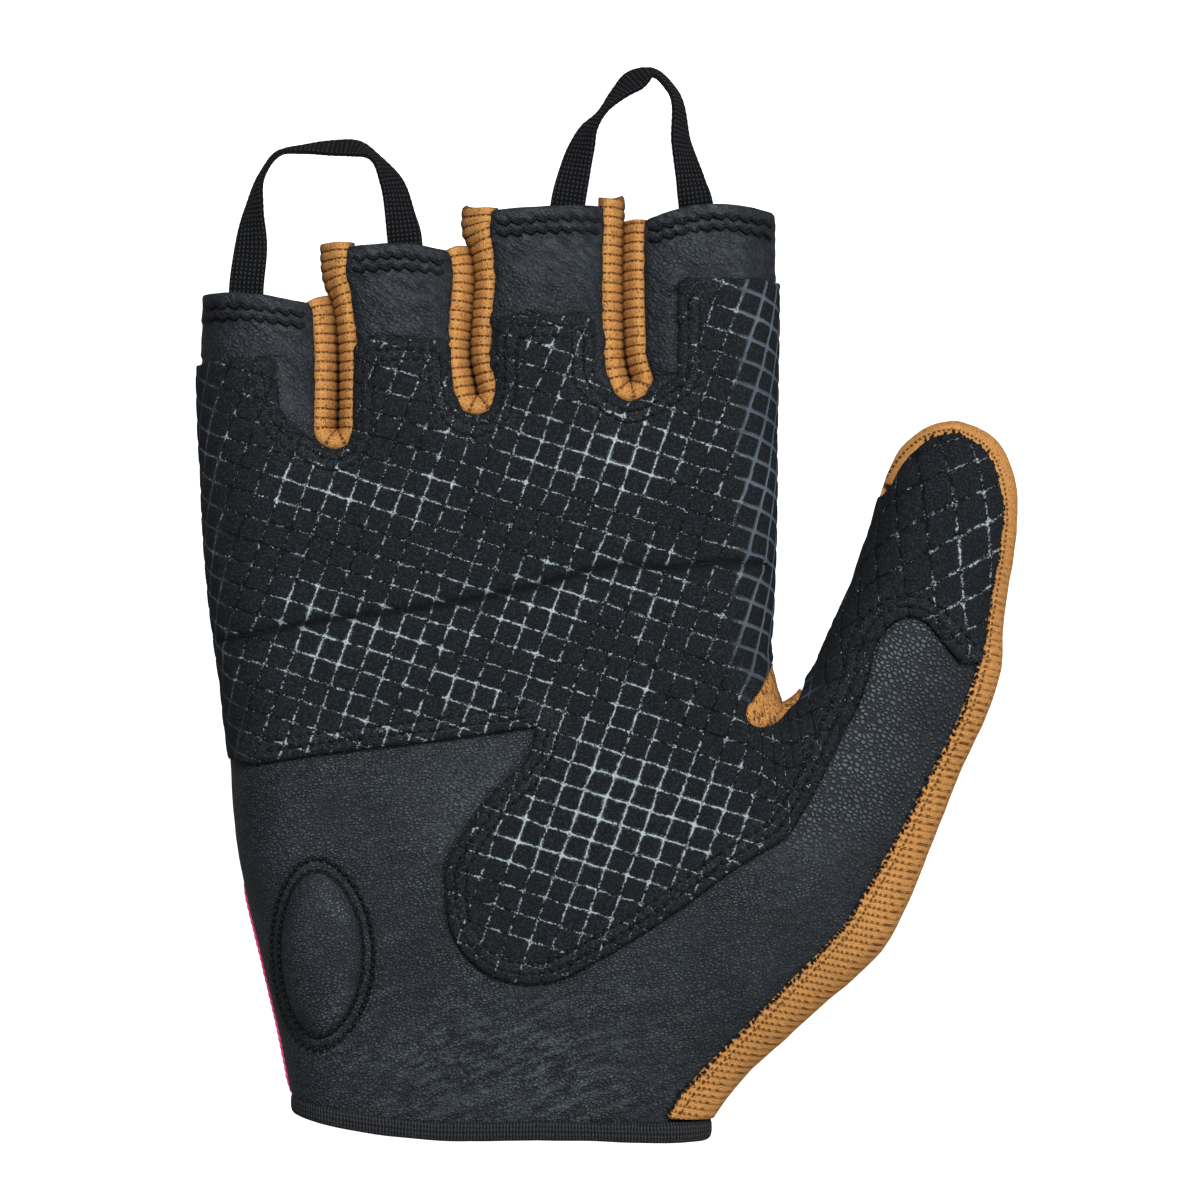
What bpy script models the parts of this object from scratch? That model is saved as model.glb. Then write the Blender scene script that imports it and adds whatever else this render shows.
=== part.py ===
"""Right-hand wheelchair glove with open finger sleeves and a closed thumb, lying on its back.

X runs across the palm towards the thumb, Y from the wrist to the fingers and Z up, away from the
surface that the glove's back lies on. All lengths are in metres. The leather and knit panels are thin
walls that follow one pillow shape: it rises steeply from the side seams and levels off over the palm.
"""

import math

import bmesh
import bpy
import numpy as np
from mathutils import Vector
from mathutils.geometry import delaunay_2d_cdt

# Driving sizes of the glove's outline
PALM_WIDTH = 0.1013
HAND_LENGTH = 0.117  # wrist seam to the foot of the first finger slot
SLEEVE_LENGTH = 0.0378  # from there to the rim of the longest finger sleeve
CROTCH_HEIGHT = 0.070  # wrist seam to the notch between palm and thumb
THUMB_LENGTH = 0.0487  # notch to the thumb's tip
THUMB_SPREAD = 0.0408  # how far the thumb stands out past the palm
GUSSET_WIDTH = 0.0103
BACK_DROP = 0.0024  # how far the back of the wrist reaches past the front

# Driving sizes of the pillow shape
SEAM_HEIGHT = 0.008  # side seams above the surface
PALM_CROWN = 0.012  # palm above the side seams
THUMB_CROWN = 0.0095
SIDE_ROUND = 0.011  # how far in from a side the palm's rounding reaches
BACK_ROUND = 0.008  # the same for the back
CREASE_DEPTH = 0.0012
CREASE_WIDTH = 0.003

# Walls, bands and clearances
LEATHER_WALL = 0.0012
KNIT_WALL = 0.0015
GRIP_WALL = 0.0008
GAP = 0.0003  # between pieces that touch on the real glove
OVERLAY_GAP = 0.0004  # under a panel that lies on another curved one
SLOT_GAP = 0.0006  # between two neighbouring fingers
FOURCHETTE_REACH = 0.0031  # how far the knit between two fingers shows over each of them
FOURCHETTE_BULGE = 0.0005
SIDE_BAND = 0.0079  # widest place of the knit band that comes round from the back
BINDING_HEIGHT = 0.003
BINDING_WALL = 0.0024
TONGUE_CORNER = 0.0018
PAD_WIDTH = 0.0138
PAD_LENGTH = 0.0278
PAD_HEIGHT = 0.0022
PAD_EDGE = 0.0006
PIPING_WIDTH = 0.0006
PIPING_HEIGHT = 0.0016
LOOP_RISE = 0.0245  # top of a pull loop above its feet
LOOP_DROOP = 0.003
LOOP_TUCK = 0.008  # how far a loop's foot reaches under the leather
WEBBING_WIDTH = 0.006
WEBBING_THICK = 0.001

# Fineness of the walls
EDGE_STEP = 0.006
FACE_STEP = 0.009

# Tables. "across" is a share of PALM_WIDTH, from the palm's middle. "up" counts 0 at the wrist seam, 1 at
# HAND_LENGTH and 2 at the longest rim, except in the thumb's tables, where 1 is the notch and 2 the tip,
# and in INDEX_SIDE, where 0 is the notch. "out" is a share of THUMB_SPREAD, from the palm's edge.
PINKY_SIDE = dict(
    across=(-0.334, -0.356, -0.380, -0.414, -0.433, -0.439, -0.450, -0.465, -0.476, -0.483, -0.490, -0.486),
    up=(0.022, 0.118, 0.207, 0.331, 0.426, 0.512, 0.593, 0.700, 0.809, 0.926, 1.269, 1.610),
)
INDEX_SIDE = dict(
    across=(0.490, 0.493, 0.490, 0.487, 0.483),
    up=(1.982, 1.668, 0.993, 0.524, 0.304),
)
THUMB_INNER = dict(
    out=(0.241, 0.308, 0.380, 0.435, 0.477, 0.544, 0.654),
    up=(1.286, 1.406, 1.587, 1.756, 1.852, 1.926, 1.990),
)
# "band" is the width of the knit band along the thumb's outer side, as a share of SIDE_BAND.
THUMB_OUTER = dict(
    out=(0.735, 0.899, 0.992, 1.0, 0.987, 0.941, 0.924, 0.869, 0.764, 0.629, 0.515, 0.443, 0.329, 0.169, 0.008,
         -0.131, -0.228, -0.291),
    up=(2.0, 1.943, 1.774, 1.675, 1.551, 1.293, 1.095, 0.971, 0.840, 0.641, 0.482, 0.403, 0.332, 0.253, 0.167,
        0.093, 0.027, -0.027),
    band=(0.28, 0.40, 0.40, 0.36, 0.36, 0.38, 0.50, 0.50, 0.50, 0.72, 0.94, 0.98, 0.96, 0.86, 0.80,
          0.75, 0.78, 0.98),
)
BAND_START = 1.756  # where the band begins on the thumb's inner side
NOTCH_ACROSS = 0.505
# Notch and gusset, as shares of GUSSET_WIDTH from the notch's corner.
NOTCH_PALM = dict(right=(-0.233, -0.150, -0.067, 0.0), above=(0.80, 0.52, 0.22, 0.0))
NOTCH_THUMB = dict(right=(0.130, 0.367), above=(0.067, 0.283))
GUSSET_EDGE = dict(
    right=(-0.197, -0.330, -0.500, -0.700, -0.650, -0.450, -0.183, 0.100, 0.267, 0.367),
    above=(0.68, 0.450, 0.180, -0.100, -0.283, -0.400, -0.350, -0.133, 0.050, 0.283),
)
SLOTS = (
    dict(across=(-0.254, -0.253, -0.256, -0.264, -0.277, -0.284, -0.284),
         up=(1.009, 1.236, 1.432, 1.582, 1.659, 1.764, 1.865)),
    dict(across=(-0.016, -0.028, -0.025, -0.022, -0.030, -0.043, -0.043),
         up=(1.164, 1.318, 1.523, 1.727, 1.830, 1.900, 2.0)),
    dict(across=(0.245, 0.237, 0.2335, 0.232, 0.234),
         up=(1.227, 1.309, 1.455, 1.645, 2.03)),
)
# One row for each finger sleeve, pinky first: its rim at the left, in the middle and at the right.
RIMS = dict(
    left=(1.610, 1.811, 1.992, 1.947),
    middle=(1.600, 1.830, 1.998, 2.010),
    right=(1.588, 1.833, 2.000, 1.982),
)
# One row for each tongue of the grip panel. The first and the last reach the glove's sides.
TONGUES = dict(
    left=(None, -0.2165, 0.0235, 0.3285),
    right=(-0.357, -0.0655, 0.1785, None),
    top=(1.312, 1.395, 1.504, 1.668),
)
GRIP_THUMB_EDGE = dict(
    out=(0.747, 0.667, 0.570, 0.515, 0.435, 0.384, 0.329, 0.241, 0.160, 0.084, 0.004),
    up=(1.148, 1.230, 1.311, 1.315, 1.276, 1.209, 1.039, 0.929, 0.835, 0.754, 0.681),
)
GRIP_BULB_EDGE = dict(
    across=(0.427, 0.310, 0.179, 0.121, 0.069, 0.001, -0.052, -0.062, -0.059, -0.038, 0.026, 0.072, 0.094),
    up=(0.371, 0.297, 0.227, 0.202, 0.196, 0.213, 0.269, 0.315, 0.371, 0.402, 0.477, 0.513, 0.571),
)
GRIP_LOWER_EDGE = dict(across=(0.094, -0.082, -0.293, -0.381), up=(0.571, 0.550, 0.528, 0.516))
GRIP_SIDE_LOW = 0.518
GRIP_SIDE_HIGH = 1.290
PALM_CREASE = dict(
    across=(-0.445, -0.267, -0.082, 0.089, 0.193, 0.322, 0.385, 0.443, 0.493),
    up=(0.690, 0.720, 0.741, 0.771, 0.797, 0.797, 0.803, 0.803, 0.802),
)
WRIST = dict(along=(0.0, 0.15, 0.31, 0.64, 1.0), sag=(0.0, -0.011, -0.018, -0.007, 0.0))
CROWN = dict(up=(-0.05, 0.25, 0.6, 1.0, 1.4, 2.0), rise=(0.72, 0.95, 1.0, 0.86, 0.74, 0.66))
# The palm's crown gives way to the thumb's from the first of these places to the second.
CROWN_BLEND = dict(across=(0.4, 0.5), out=(0.0, 0.35))
PIPING_SPAN = (0.022, 0.331)
PAD_MIDDLE = (-0.282, 0.236)  # across, up
PAD_LEAN = 0.12  # how far the pad's fuller half lies to the right, as a share of its width
# Pull loops: "along" is a share of the span between the two feet, "rise" a share of LOOP_RISE above the
# line that joins them, and "turn" the webbing's turn from flat, in degrees.
LOOPS = (
    dict(name="pull_loop_outer", feet=((-0.407, 1.627), (-0.137, 1.832)),
         along=(0.0, 0.025, 0.04, 0.09, 0.19, 0.36, 0.54, 0.68, 0.80, 0.91, 0.97, 1.0),
         rise=(0.0, 0.29, 0.56, 0.80, 0.92, 0.90, 0.85, 0.80, 0.70, 0.49, 0.22, 0.0),
         turn=(0, 12, 52, 78, 82, 72, 60, 58, 76, 52, 30, 0)),
    dict(name="pull_loop_inner", feet=((0.137, 1.985), (0.356, 1.998)),
         along=(0.0, 0.05, 0.11, 0.17, 0.26, 0.40, 0.52, 0.68, 0.82, 0.89, 0.96, 1.0),
         rise=(0.0, 0.26, 0.46, 0.60, 0.70, 0.84, 0.93, 0.98, 0.85, 0.47, 0.20, 0.0),
         turn=(0, 20, 40, 62, 78, 62, 45, 72, 74, 55, 30, 0)),
)

ALONG_HAND = np.array([0.0, 1.0, 0.0])
TAN = (0.578, 0.266, 0.08)
TOUCH = 1e-6  # a point this close to a side lies on it
SLOPE_STEP = 2e-5  # the walls' slopes are measured over this distance
RINGS = (0.014, 0.1, 0.27, 0.55, 1.0)  # distances from a side where the wall has points, in SIDE_ROUND
FOOT_STEPS = 6
LATTICE_START = 1.15  # where the lattice of face points begins, in SIDE_ROUND


def level(share, *marks):
    """Height of a share that counts from mark to mark, carried on in a straight line past the last."""
    share = np.asarray(share, float)
    step = np.clip(np.floor(share).astype(int), 0, len(marks) - 2)
    low = np.take(marks, step)
    high = np.take(marks, step + 1)
    return low + (share - step) * (high - low)


def hand_height(share):
    return level(share, 0.0, HAND_LENGTH, HAND_LENGTH + SLEEVE_LENGTH)


def thumb_height(share):
    return level(share, 0.0, CROTCH_HEIGHT, CROTCH_HEIGHT + THUMB_LENGTH)


def on_hand(table):
    return np.column_stack([np.array(table["across"]) * PALM_WIDTH, hand_height(table["up"])])


def on_thumb(table):
    across = PALM_WIDTH / 2 + np.array(table["out"]) * THUMB_SPREAD
    return np.column_stack([across, thumb_height(table["up"])])


def at_notch(table):
    corner = np.array([PALM_WIDTH * NOTCH_ACROSS, CROTCH_HEIGHT])
    return corner + GUSSET_WIDTH * np.column_stack([table["right"], table["above"]])


def lengths_along(line):
    return np.r_[0, np.cumsum(np.linalg.norm(np.diff(line, axis=0), axis=1))]


def spaced(line, step):
    """The same line with its points evenly spaced, about one step apart."""
    run = lengths_along(line)
    marks = np.linspace(0, run[-1], max(2, round(run[-1] / step) + 1))
    return np.column_stack([np.interp(marks, run, column) for column in line.T])


def smooth(points, step):
    """A cubic line through the points, whose slope at each is that of its neighbours' chord."""
    points = np.asarray(points, float)
    chord = lengths_along(points)
    slope = np.gradient(points, chord, axis=0)
    fine = np.linspace(0, chord[-1], 16 * len(points))
    k = np.clip(np.searchsorted(chord, fine, "right") - 1, 0, len(points) - 2)
    width = (chord[k + 1] - chord[k])[:, None]
    t = (fine - chord[k])[:, None] / width
    line = (
        (2 * t**3 - 3 * t**2 + 1) * points[k]
        + (t**3 - 2 * t**2 + t) * width * slope[k]
        + (3 * t**2 - 2 * t**3) * points[k + 1]
        + (t**3 - t**2) * width * slope[k + 1]
    )
    return spaced(line, step)


def left_normals(line):
    """Unit vectors to the left of a plan line's direction, at each of its points."""
    run = np.gradient(line, axis=0)
    run /= np.linalg.norm(run, axis=1)[:, None]
    return np.column_stack([-run[:, 1], run[:, 0]])


def distance(points, line, signed=False):
    """Distance from each plan point to the nearest place of a line. A signed distance is negative on the
    line's left."""
    start = line[:-1]
    run = line[1:] - start
    offset = points[:, None] - start
    t = np.clip((offset * run).sum(-1) / (run * run).sum(-1), 0, 1)
    lengths = np.linalg.norm(offset - t[..., None] * run, axis=-1)
    nearest = lengths.argmin(axis=1)
    rows = np.arange(len(points))
    reach = lengths[rows, nearest]
    if not signed:
        return reach
    way, along = offset[rows, nearest], run[nearest]
    left = along[:, 0] * way[:, 1] - along[:, 1] * way[:, 0] > 0
    return np.where(left, -reach, reach)


def cut(line, low, high):
    """The stretch of a rising or falling line between two heights, with its ends put on them."""
    flipped = line[0, 1] > line[-1, 1]
    line = line[::-1] if flipped else line
    low, high = max(low, line[0, 1]), min(high, line[-1, 1])
    margin = 0.15 * EDGE_STEP
    between = line[(line[:, 1] > low + margin) & (line[:, 1] < high - margin)]
    ends = [(np.interp(y, line[:, 1], line[:, 0]), y) for y in (low, high)]
    part = np.vstack([ends[0], between, ends[1]])
    return part[::-1] if flipped else part


class Sides:
    """The plan lines that the walls turn down to, all at the height of the side seams."""

    pinky = smooth(on_hand(PINKY_SIDE), EDGE_STEP)
    index = smooth(
        np.vstack([
            np.column_stack([
                np.array(INDEX_SIDE["across"]) * PALM_WIDTH,
                level(INDEX_SIDE["up"], CROTCH_HEIGHT, HAND_LENGTH, HAND_LENGTH + SLEEVE_LENGTH),
            ]),
            at_notch(NOTCH_PALM),
        ]),
        EDGE_STEP,
    )
    thumb_inner = smooth(
        np.vstack([
            at_notch(NOTCH_PALM)[-1], at_notch(NOTCH_THUMB), on_thumb(THUMB_INNER), on_thumb(THUMB_OUTER)[0],
        ]),
        EDGE_STEP,
    )
    thumb_outer = smooth(on_thumb(THUMB_OUTER), EDGE_STEP)
    slots = [smooth(on_hand(table), EDGE_STEP) for table in SLOTS]


NOTCH_TOPS = at_notch(GUSSET_EDGE)[[0, -1], 1] + 3 * GAP  # where the leather begins beside the gusset
THUMB_SIDE = np.vstack([Sides.thumb_inner, Sides.thumb_outer[1:]])
CREASE = smooth(on_hand(PALM_CREASE), EDGE_STEP)


def side_distance(points):
    """Distance in plan to the nearest side or slot, negative just outside it."""
    sides = [distance(points, line, signed=True) for line in (Sides.pinky, Sides.index, THUMB_SIDE)]
    slots = [distance(points, line) - SLOT_GAP / 2 for line in Sides.slots]
    reaches = np.array(sides + slots)
    nearest = reaches[np.abs(reaches).argmin(axis=0), np.arange(len(points))]
    nearest = np.where(nearest < -2 * SLOPE_STEP, -nearest, nearest)
    return np.where(np.abs(nearest) < TOUCH, 0.0, nearest)


def rounding(share):
    """Quarter of a circle: 0 at a side and 1 from a share of 1 on, and its mirror image outside."""
    return np.sign(share) * np.sqrt(1 - (1 - np.clip(np.abs(share), 0, 1)) ** 2)


def crown(points):
    """Rise of the palm side above the seams, as the rounding's full height at each place."""
    along = np.interp(points[:, 1], hand_height(CROWN["up"]), np.array(CROWN["rise"]) * PALM_CROWN)
    start, end = np.array(CROWN_BLEND["across"]) * PALM_WIDTH + np.array(CROWN_BLEND["out"]) * THUMB_SPREAD
    blend = np.clip((points[:, 0] - start) / (end - start), 0, 1)
    blend *= points[:, 1] < HAND_LENGTH
    return along + (THUMB_CROWN - along) * blend * blend * (3 - 2 * blend)


def palm_side(points, seam):
    """Height of the palm side's surface where the wall's edge at a side lies at the height of seam."""
    crease = CREASE_DEPTH * np.exp(-((distance(points, CREASE) / CREASE_WIDTH) ** 2))
    top = SEAM_HEIGHT + crown(points) - crease
    return seam + (top - seam) * rounding(side_distance(points) / SIDE_ROUND)


def back_side(points, seam):
    """Height of the back's surface, which is flat where the glove rests."""
    return seam * (1 - rounding(side_distance(points) / BACK_ROUND))


def wall_points():
    """Plan points for the walls: rings along every side, lines along the crease and a lattice between."""
    lines = [(Sides.pinky, (-1,)), (Sides.index, (-1,)), (THUMB_SIDE, (-1,))]
    lines += [(line, (-1, 1)) for line in Sides.slots]
    rings = []
    for share in RINGS:
        reach = share * SIDE_ROUND
        for line, turns in lines:
            slot = SLOT_GAP / 2 if len(turns) == 2 else 0.0
            rings += [(line + turn * left_normals(line) * (reach + slot), reach) for turn in turns]
        for line in Sides.slots:
            rings.append((slot_border(line, reach, FOOT_STEPS)[0], reach))
    normals = left_normals(CREASE)
    rings += [(CREASE + shift * CREASE_WIDTH * normals, 0.5 * SIDE_ROUND) for shift in (0, -1.3, 1.3)]
    low = np.min([THUMB_SIDE.min(axis=0), Sides.pinky.min(axis=0)], axis=0)
    high = np.max([THUMB_SIDE.max(axis=0), Sides.index.max(axis=0)], axis=0)
    rows = []
    for i, y in enumerate(np.arange(low[1], high[1], FACE_STEP * math.sqrt(0.75))):
        x = np.arange(low[0], high[0], FACE_STEP) + (i % 2) * FACE_STEP / 2
        rows.append(np.column_stack([x, np.full(len(x), y)]))
    rings.append((np.vstack(rows), SIDE_ROUND * LATTICE_START))
    kept = np.empty((0, 2))
    for points, reach in rings:
        points = points[side_distance(points) > 0.96 * reach]
        near = max(0.3 * EDGE_STEP, min(0.55 * EDGE_STEP, reach))
        for point in points:
            if not len(kept) or np.linalg.norm(kept - point, axis=1).min() > near or reach < 0.2 * SIDE_ROUND:
                kept = np.vstack([kept, point])
    return kept


def slot_border(line, reach, steps):
    """Half circle round a slot's foot at one reach from its middle line, and its directions."""
    left = left_normals(line)[0]
    down = -(line[1] - line[0]) / np.linalg.norm(line[1] - line[0])
    angles = np.linspace(0, math.pi, steps + 1)[:, None]
    ways = left * np.cos(angles) + down * np.sin(angles)
    return line[0] + ways * (reach + SLOT_GAP / 2), ways


def slot_stations(k, proud=0.0):
    """Places on a slot's middle line and directions away from it: down the left side, round the foot and
    up the right, between the rims of the two fingers beside it."""
    line = Sides.slots[k]
    arms = []
    for rim in (RIMS["right"][k], RIMS["left"][k + 1]):
        arms.append(cut(line, -math.inf, hand_height(rim) + proud))
    _, ways = slot_border(line, 0.0, FOOT_STEPS)
    foot = np.repeat(line[:1], len(ways), axis=0)
    places = np.vstack([arms[0][:0:-1], foot, arms[1][1:]])
    turns = np.vstack([left_normals(arms[0])[:0:-1], ways, -left_normals(arms[1])[1:]])
    return places, turns


def rim_line(k, first, last):
    """A finger sleeve's rim between its corners on the left and the right."""
    middle = (first + last) / 2
    middle[1] = hand_height(RIMS["middle"][k])
    return smooth(np.array([first, middle, last]), EDGE_STEP)


def finger_border(reach):
    """The border over the four fingers, from the pinky side's rim to the index side's."""
    border = []
    corner = cut(Sides.pinky, -math.inf, hand_height(RIMS["left"][0]))[-1]
    for k in range(3):
        places, turns = slot_stations(k)
        slot = places + turns * (SLOT_GAP / 2 + reach)
        border += [rim_line(k, corner, slot[0])[1:-1], slot]
        corner = slot[-1]
    last = cut(Sides.index, -math.inf, hand_height(RIMS["right"][3]))[0]
    border.append(rim_line(3, corner, last)[1:-1])
    return np.vstack(border)


def seam_line(extra):
    """The inner edge of the knit band over the thumb's outer side, moved in by extra."""
    start = cut(Sides.thumb_inner, thumb_height(BAND_START), math.inf)
    run = lengths_along(on_thumb(THUMB_OUTER))
    place = lengths_along(Sides.thumb_outer)
    outer = np.interp(place, run * place[-1] / run[-1], THUMB_OUTER["band"]) * SIDE_BAND
    inner = np.linspace(0, outer[0], len(start) + 1)[1:]
    side = np.vstack([start, Sides.thumb_outer[1:]])
    widths = np.r_[inner, outer[1:]] + extra
    line = side - left_normals(side) * widths[:, None]
    wrist = wrist_line(0.0)
    along = lengths_along(wrist)
    line[-1] = [np.interp(along[-1] - widths[-1], along, column) for column in wrist.T]
    return line


def wrist_line(drop):
    """The wrist's edge from the pinky side to the thumb's side, sagging between them."""
    along = np.array(WRIST["along"])[:, None]
    line = Sides.pinky[0] + along * (Sides.thumb_outer[-1] - Sides.pinky[0])
    line[:, 1] += np.array(WRIST["sag"]) * HAND_LENGTH - drop * np.sin(math.pi * along[:, 0]) ** 0.8
    return smooth(line, EDGE_STEP)


def wrist_border(drop, corner):
    """The wrist's edge from a corner back to the pinky side, without both ends."""
    line = wrist_line(drop)
    margin = 0.2 * EDGE_STEP
    return line[(line[:, 0] > line[0, 0] + margin) & (line[:, 0] < corner[0] - margin)][::-1]


def inside(points, outline):
    """Whether each plan point lies inside a closed outline, by counting crossings to its right."""
    a = outline
    b = np.roll(outline, -1, axis=0)
    x, y = points[:, 0, None], points[:, 1, None]
    spans = (a[:, 1] > y) != (b[:, 1] > y)
    rise = np.where(b[:, 1] == a[:, 1], 1.0, b[:, 1] - a[:, 1])
    crossing = a[:, 0] + (y - a[:, 1]) * (b[:, 0] - a[:, 0]) / rise
    return (spans & (x < crossing)).sum(axis=1) % 2 == 1


def plan_mesh(outline, overlay=None):
    """Triangles that fill an outline, through its own points and the wall points inside it.

    The triangles also follow the outline of an overlay, so that both pieces bend along the same edges."""
    loops = [outline] if overlay is None else [outline, overlay]
    free = WALL_POINTS[inside(WALL_POINTS, outline)]
    for loop in loops:
        clear = np.minimum(0.9 * side_distance(free), 0.28 * EDGE_STEP)
        free = free[distance(free, np.vstack([loop, loop[:1]])) >= clear]
    points, edges = [], []
    for loop in loops:
        start, count = len(points), len(loop)
        edges += [(start + i, start + (i + 1) % count) for i in range(count)]
        points += list(loop)
    points = [Vector(point) for point in points + list(free)]
    corners, _, faces, *_ = delaunay_2d_cdt(points, edges, [], 1, 0.1 * TOUCH)
    return np.array([tuple(c) for c in corners]), faces


def on_ring_lines(outline):
    """The outline with a point wherever it crosses one of the rings along a side, so that its edge follows
    the rounding as the wall's face does."""
    ends = np.roll(outline, -1, axis=0)
    t = np.linspace(0, 1, 33)
    places = outline[:, None] + t[:, None] * (ends - outline)[:, None]
    reach = side_distance(places.reshape(-1, 2)).reshape(len(outline), len(t))
    points = []
    for i, corner in enumerate(outline):
        points.append(corner)
        crossings = []
        for ring in np.array(RINGS) * SIDE_ROUND:
            for k in np.nonzero((reach[i, :-1] - ring) * (reach[i, 1:] - ring) < 0)[0]:
                crossings.append(t[k] + (ring - reach[i, k]) / (reach[i, k + 1] - reach[i, k]) * (t[1] - t[0]))
        for place in sorted(crossings):
            point = corner + place * (ends[i] - corner)
            if min(np.linalg.norm(point - points[-1]), np.linalg.norm(point - ends[i])) > 0.02 * EDGE_STEP:
                points.append(point)
    return np.array(points)


def surface(plan, lift, seam):
    """Points of a height function over plan points, and its normals, which stay level at a side."""
    ways = ((SLOPE_STEP, 0.0), (0.0, SLOPE_STEP))
    slopes = [(lift(plan + way, seam) - lift(plan - way, seam)) / (2 * SLOPE_STEP) for way in ways]
    normals = np.column_stack([-slopes[0], -slopes[1], np.ones(len(plan))])
    normals /= np.linalg.norm(normals, axis=1)[:, None]
    return np.column_stack([plan, lift(plan, seam)]), normals


def closed_wall(points, normals, faces, low, high):
    """A closed wall between two offsets of an open sheet along its normals. Two walls that butt share
    their normals, so the gap between them stays even, which a modifier's own normals don't give."""
    bm = bmesh.new()
    outer = [bm.verts.new(point) for point in points + high * normals]
    inner = [bm.verts.new(point) for point in points + low * normals]
    for face in faces:
        bm.faces.new([outer[i] for i in face])
    bm.verts.index_update()
    rims = [edge.link_loops[0] for edge in bm.edges if edge.is_boundary]
    rim = [(loop.vert.index, loop.link_loop_next.vert.index) for loop in rims]
    for face in faces:
        bm.faces.new([inner[i] for i in reversed(face)])
    for a, b in rim:
        bm.faces.new([outer[b], outer[a], inner[a], inner[b]])
    return bm


def sheet(patches, low, high, overlay=None):
    """A wall over plan patches, welded where they meet.

    A patch is its outline, its height function, the height of its edge at the sides, and whether it faces
    down. The wall lies between the offsets low and high from the patches, away from the glove's inside."""
    points, normals, faces, count = [], [], [], 0
    for outline, lift, seam, down in patches:
        plan, triangles = plan_mesh(on_ring_lines(outline), overlay)
        where, ways = surface(plan, lift, seam)
        points.append(where)
        normals.append(-ways if down else ways)
        faces += [[i + count for i in (face[::-1] if down else face)] for face in triangles]
        count += len(plan)
    points, normals = np.vstack(points), np.vstack(normals)
    _, first, place = np.unique(np.round(points / TOUCH), axis=0, return_index=True, return_inverse=True)
    place = place.reshape(-1)
    shared = np.zeros((len(first), 3))
    np.add.at(shared, place, normals)
    shared /= np.linalg.norm(shared, axis=1)[:, None]
    return closed_wall(points[first], shared, [[place[i] for i in face] for face in faces], low, high)


def grid(rows, closed_rows=False, closed_columns=False):
    """A mesh of quads through rows of points, with caps where a closed section ends."""
    bm = bmesh.new()
    verts = [[bm.verts.new(point) for point in row] for row in rows]
    count, wide = len(verts), len(verts[0])
    for i in range(count if closed_rows else count - 1):
        for j in range(wide if closed_columns else wide - 1):
            a, b = verts[i], verts[(i + 1) % count]
            bm.faces.new([a[j], a[(j + 1) % wide], b[(j + 1) % wide], b[j]])
    if closed_columns and not closed_rows:
        bm.faces.new(verts[0][::-1])
        bm.faces.new(verts[-1])
    bmesh.ops.recalc_face_normals(bm, faces=bm.faces)
    return bm


def material(name, colour, roughness):
    """A plain Principled material. The colour is linear RGB."""
    made = bpy.data.materials.new(name)
    made.use_nodes = True
    shader = made.node_tree.nodes["Principled BSDF"]
    shader.inputs["Base Color"].default_value = (*colour, 1.0)
    shader.inputs["Roughness"].default_value = roughness
    shader.inputs["Metallic"].default_value = 0.0
    return made


def add_piece(name, bm, made):
    """Puts a mesh in the scene as one piece."""
    mesh = bpy.data.meshes.new(name)
    bm.to_mesh(mesh)
    bm.free()
    mesh.shade_smooth()
    mesh.set_sharp_from_angle(angle=math.radians(50))
    mesh.materials.append(made)
    piece = bpy.data.objects.new(name, mesh)
    GLOVE.objects.link(piece)
    piece.parent = ROOT


def palm_leather():
    """Palm, finger fronts and thumb front in one leather wall, up to the knit band's seam."""
    seam = seam_line(GAP)
    inner = cut(Sides.thumb_inner, -math.inf, thumb_height(BAND_START))
    outline = np.vstack([
        Sides.pinky[:-1],
        cut(Sides.pinky, -math.inf, hand_height(RIMS["left"][0]))[-1:],
        finger_border(FOURCHETTE_REACH + GAP),
        cut(Sides.index, NOTCH_TOPS[0], hand_height(RIMS["right"][3])),
        gusset_edge(GAP)[1:-1],
        cut(inner, NOTCH_TOPS[1], math.inf)[:-1],
        seam,
        wrist_border(0.0, seam[-1]),
    ])
    patches = [(outline, palm_side, SEAM_HEIGHT + GAP / 2, False)]
    bm = sheet(patches, -LEATHER_WALL, 0.0, overlay=on_ring_lines(grip_outline()))
    add_piece("palm_leather", bm, material("palm_leather", (0.026, 0.031, 0.039), 0.55))


def gusset_edge(extra):
    """The gusset's border on the palm and the back, widened by extra."""
    line = smooth(at_notch(GUSSET_EDGE), 0.4 * EDGE_STEP)
    return line - left_normals(line) * extra


def back_fabric():
    """The knit back, and the band that it sends round the thumb's outer side to the palm."""
    inner = cut(Sides.thumb_inner, NOTCH_TOPS[1], math.inf)
    back = np.vstack([
        Sides.pinky[:-1],
        cut(Sides.pinky, -math.inf, hand_height(RIMS["left"][0]))[-1:],
        finger_border(FOURCHETTE_REACH + GAP),
        cut(Sides.index, NOTCH_TOPS[0], hand_height(RIMS["right"][3])),
        gusset_edge(GAP)[1:-1],
        inner,
        Sides.thumb_outer[1:],
        wrist_border(BACK_DROP, Sides.thumb_outer[-1]),
    ])
    start = cut(inner, thumb_height(BAND_START), math.inf)
    side = np.vstack([start[1:], Sides.thumb_outer[1:]])
    band = np.vstack([side[::-1], start[:1], seam_line(0.0)[1:]])[::-1]
    low = SEAM_HEIGHT - GAP / 2
    bm = sheet([(back, back_side, low, True), (band, palm_side, low, False)], -KNIT_WALL, 0.0)
    add_piece("back_fabric", bm, material("back_fabric", TAN, 0.8))


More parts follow.
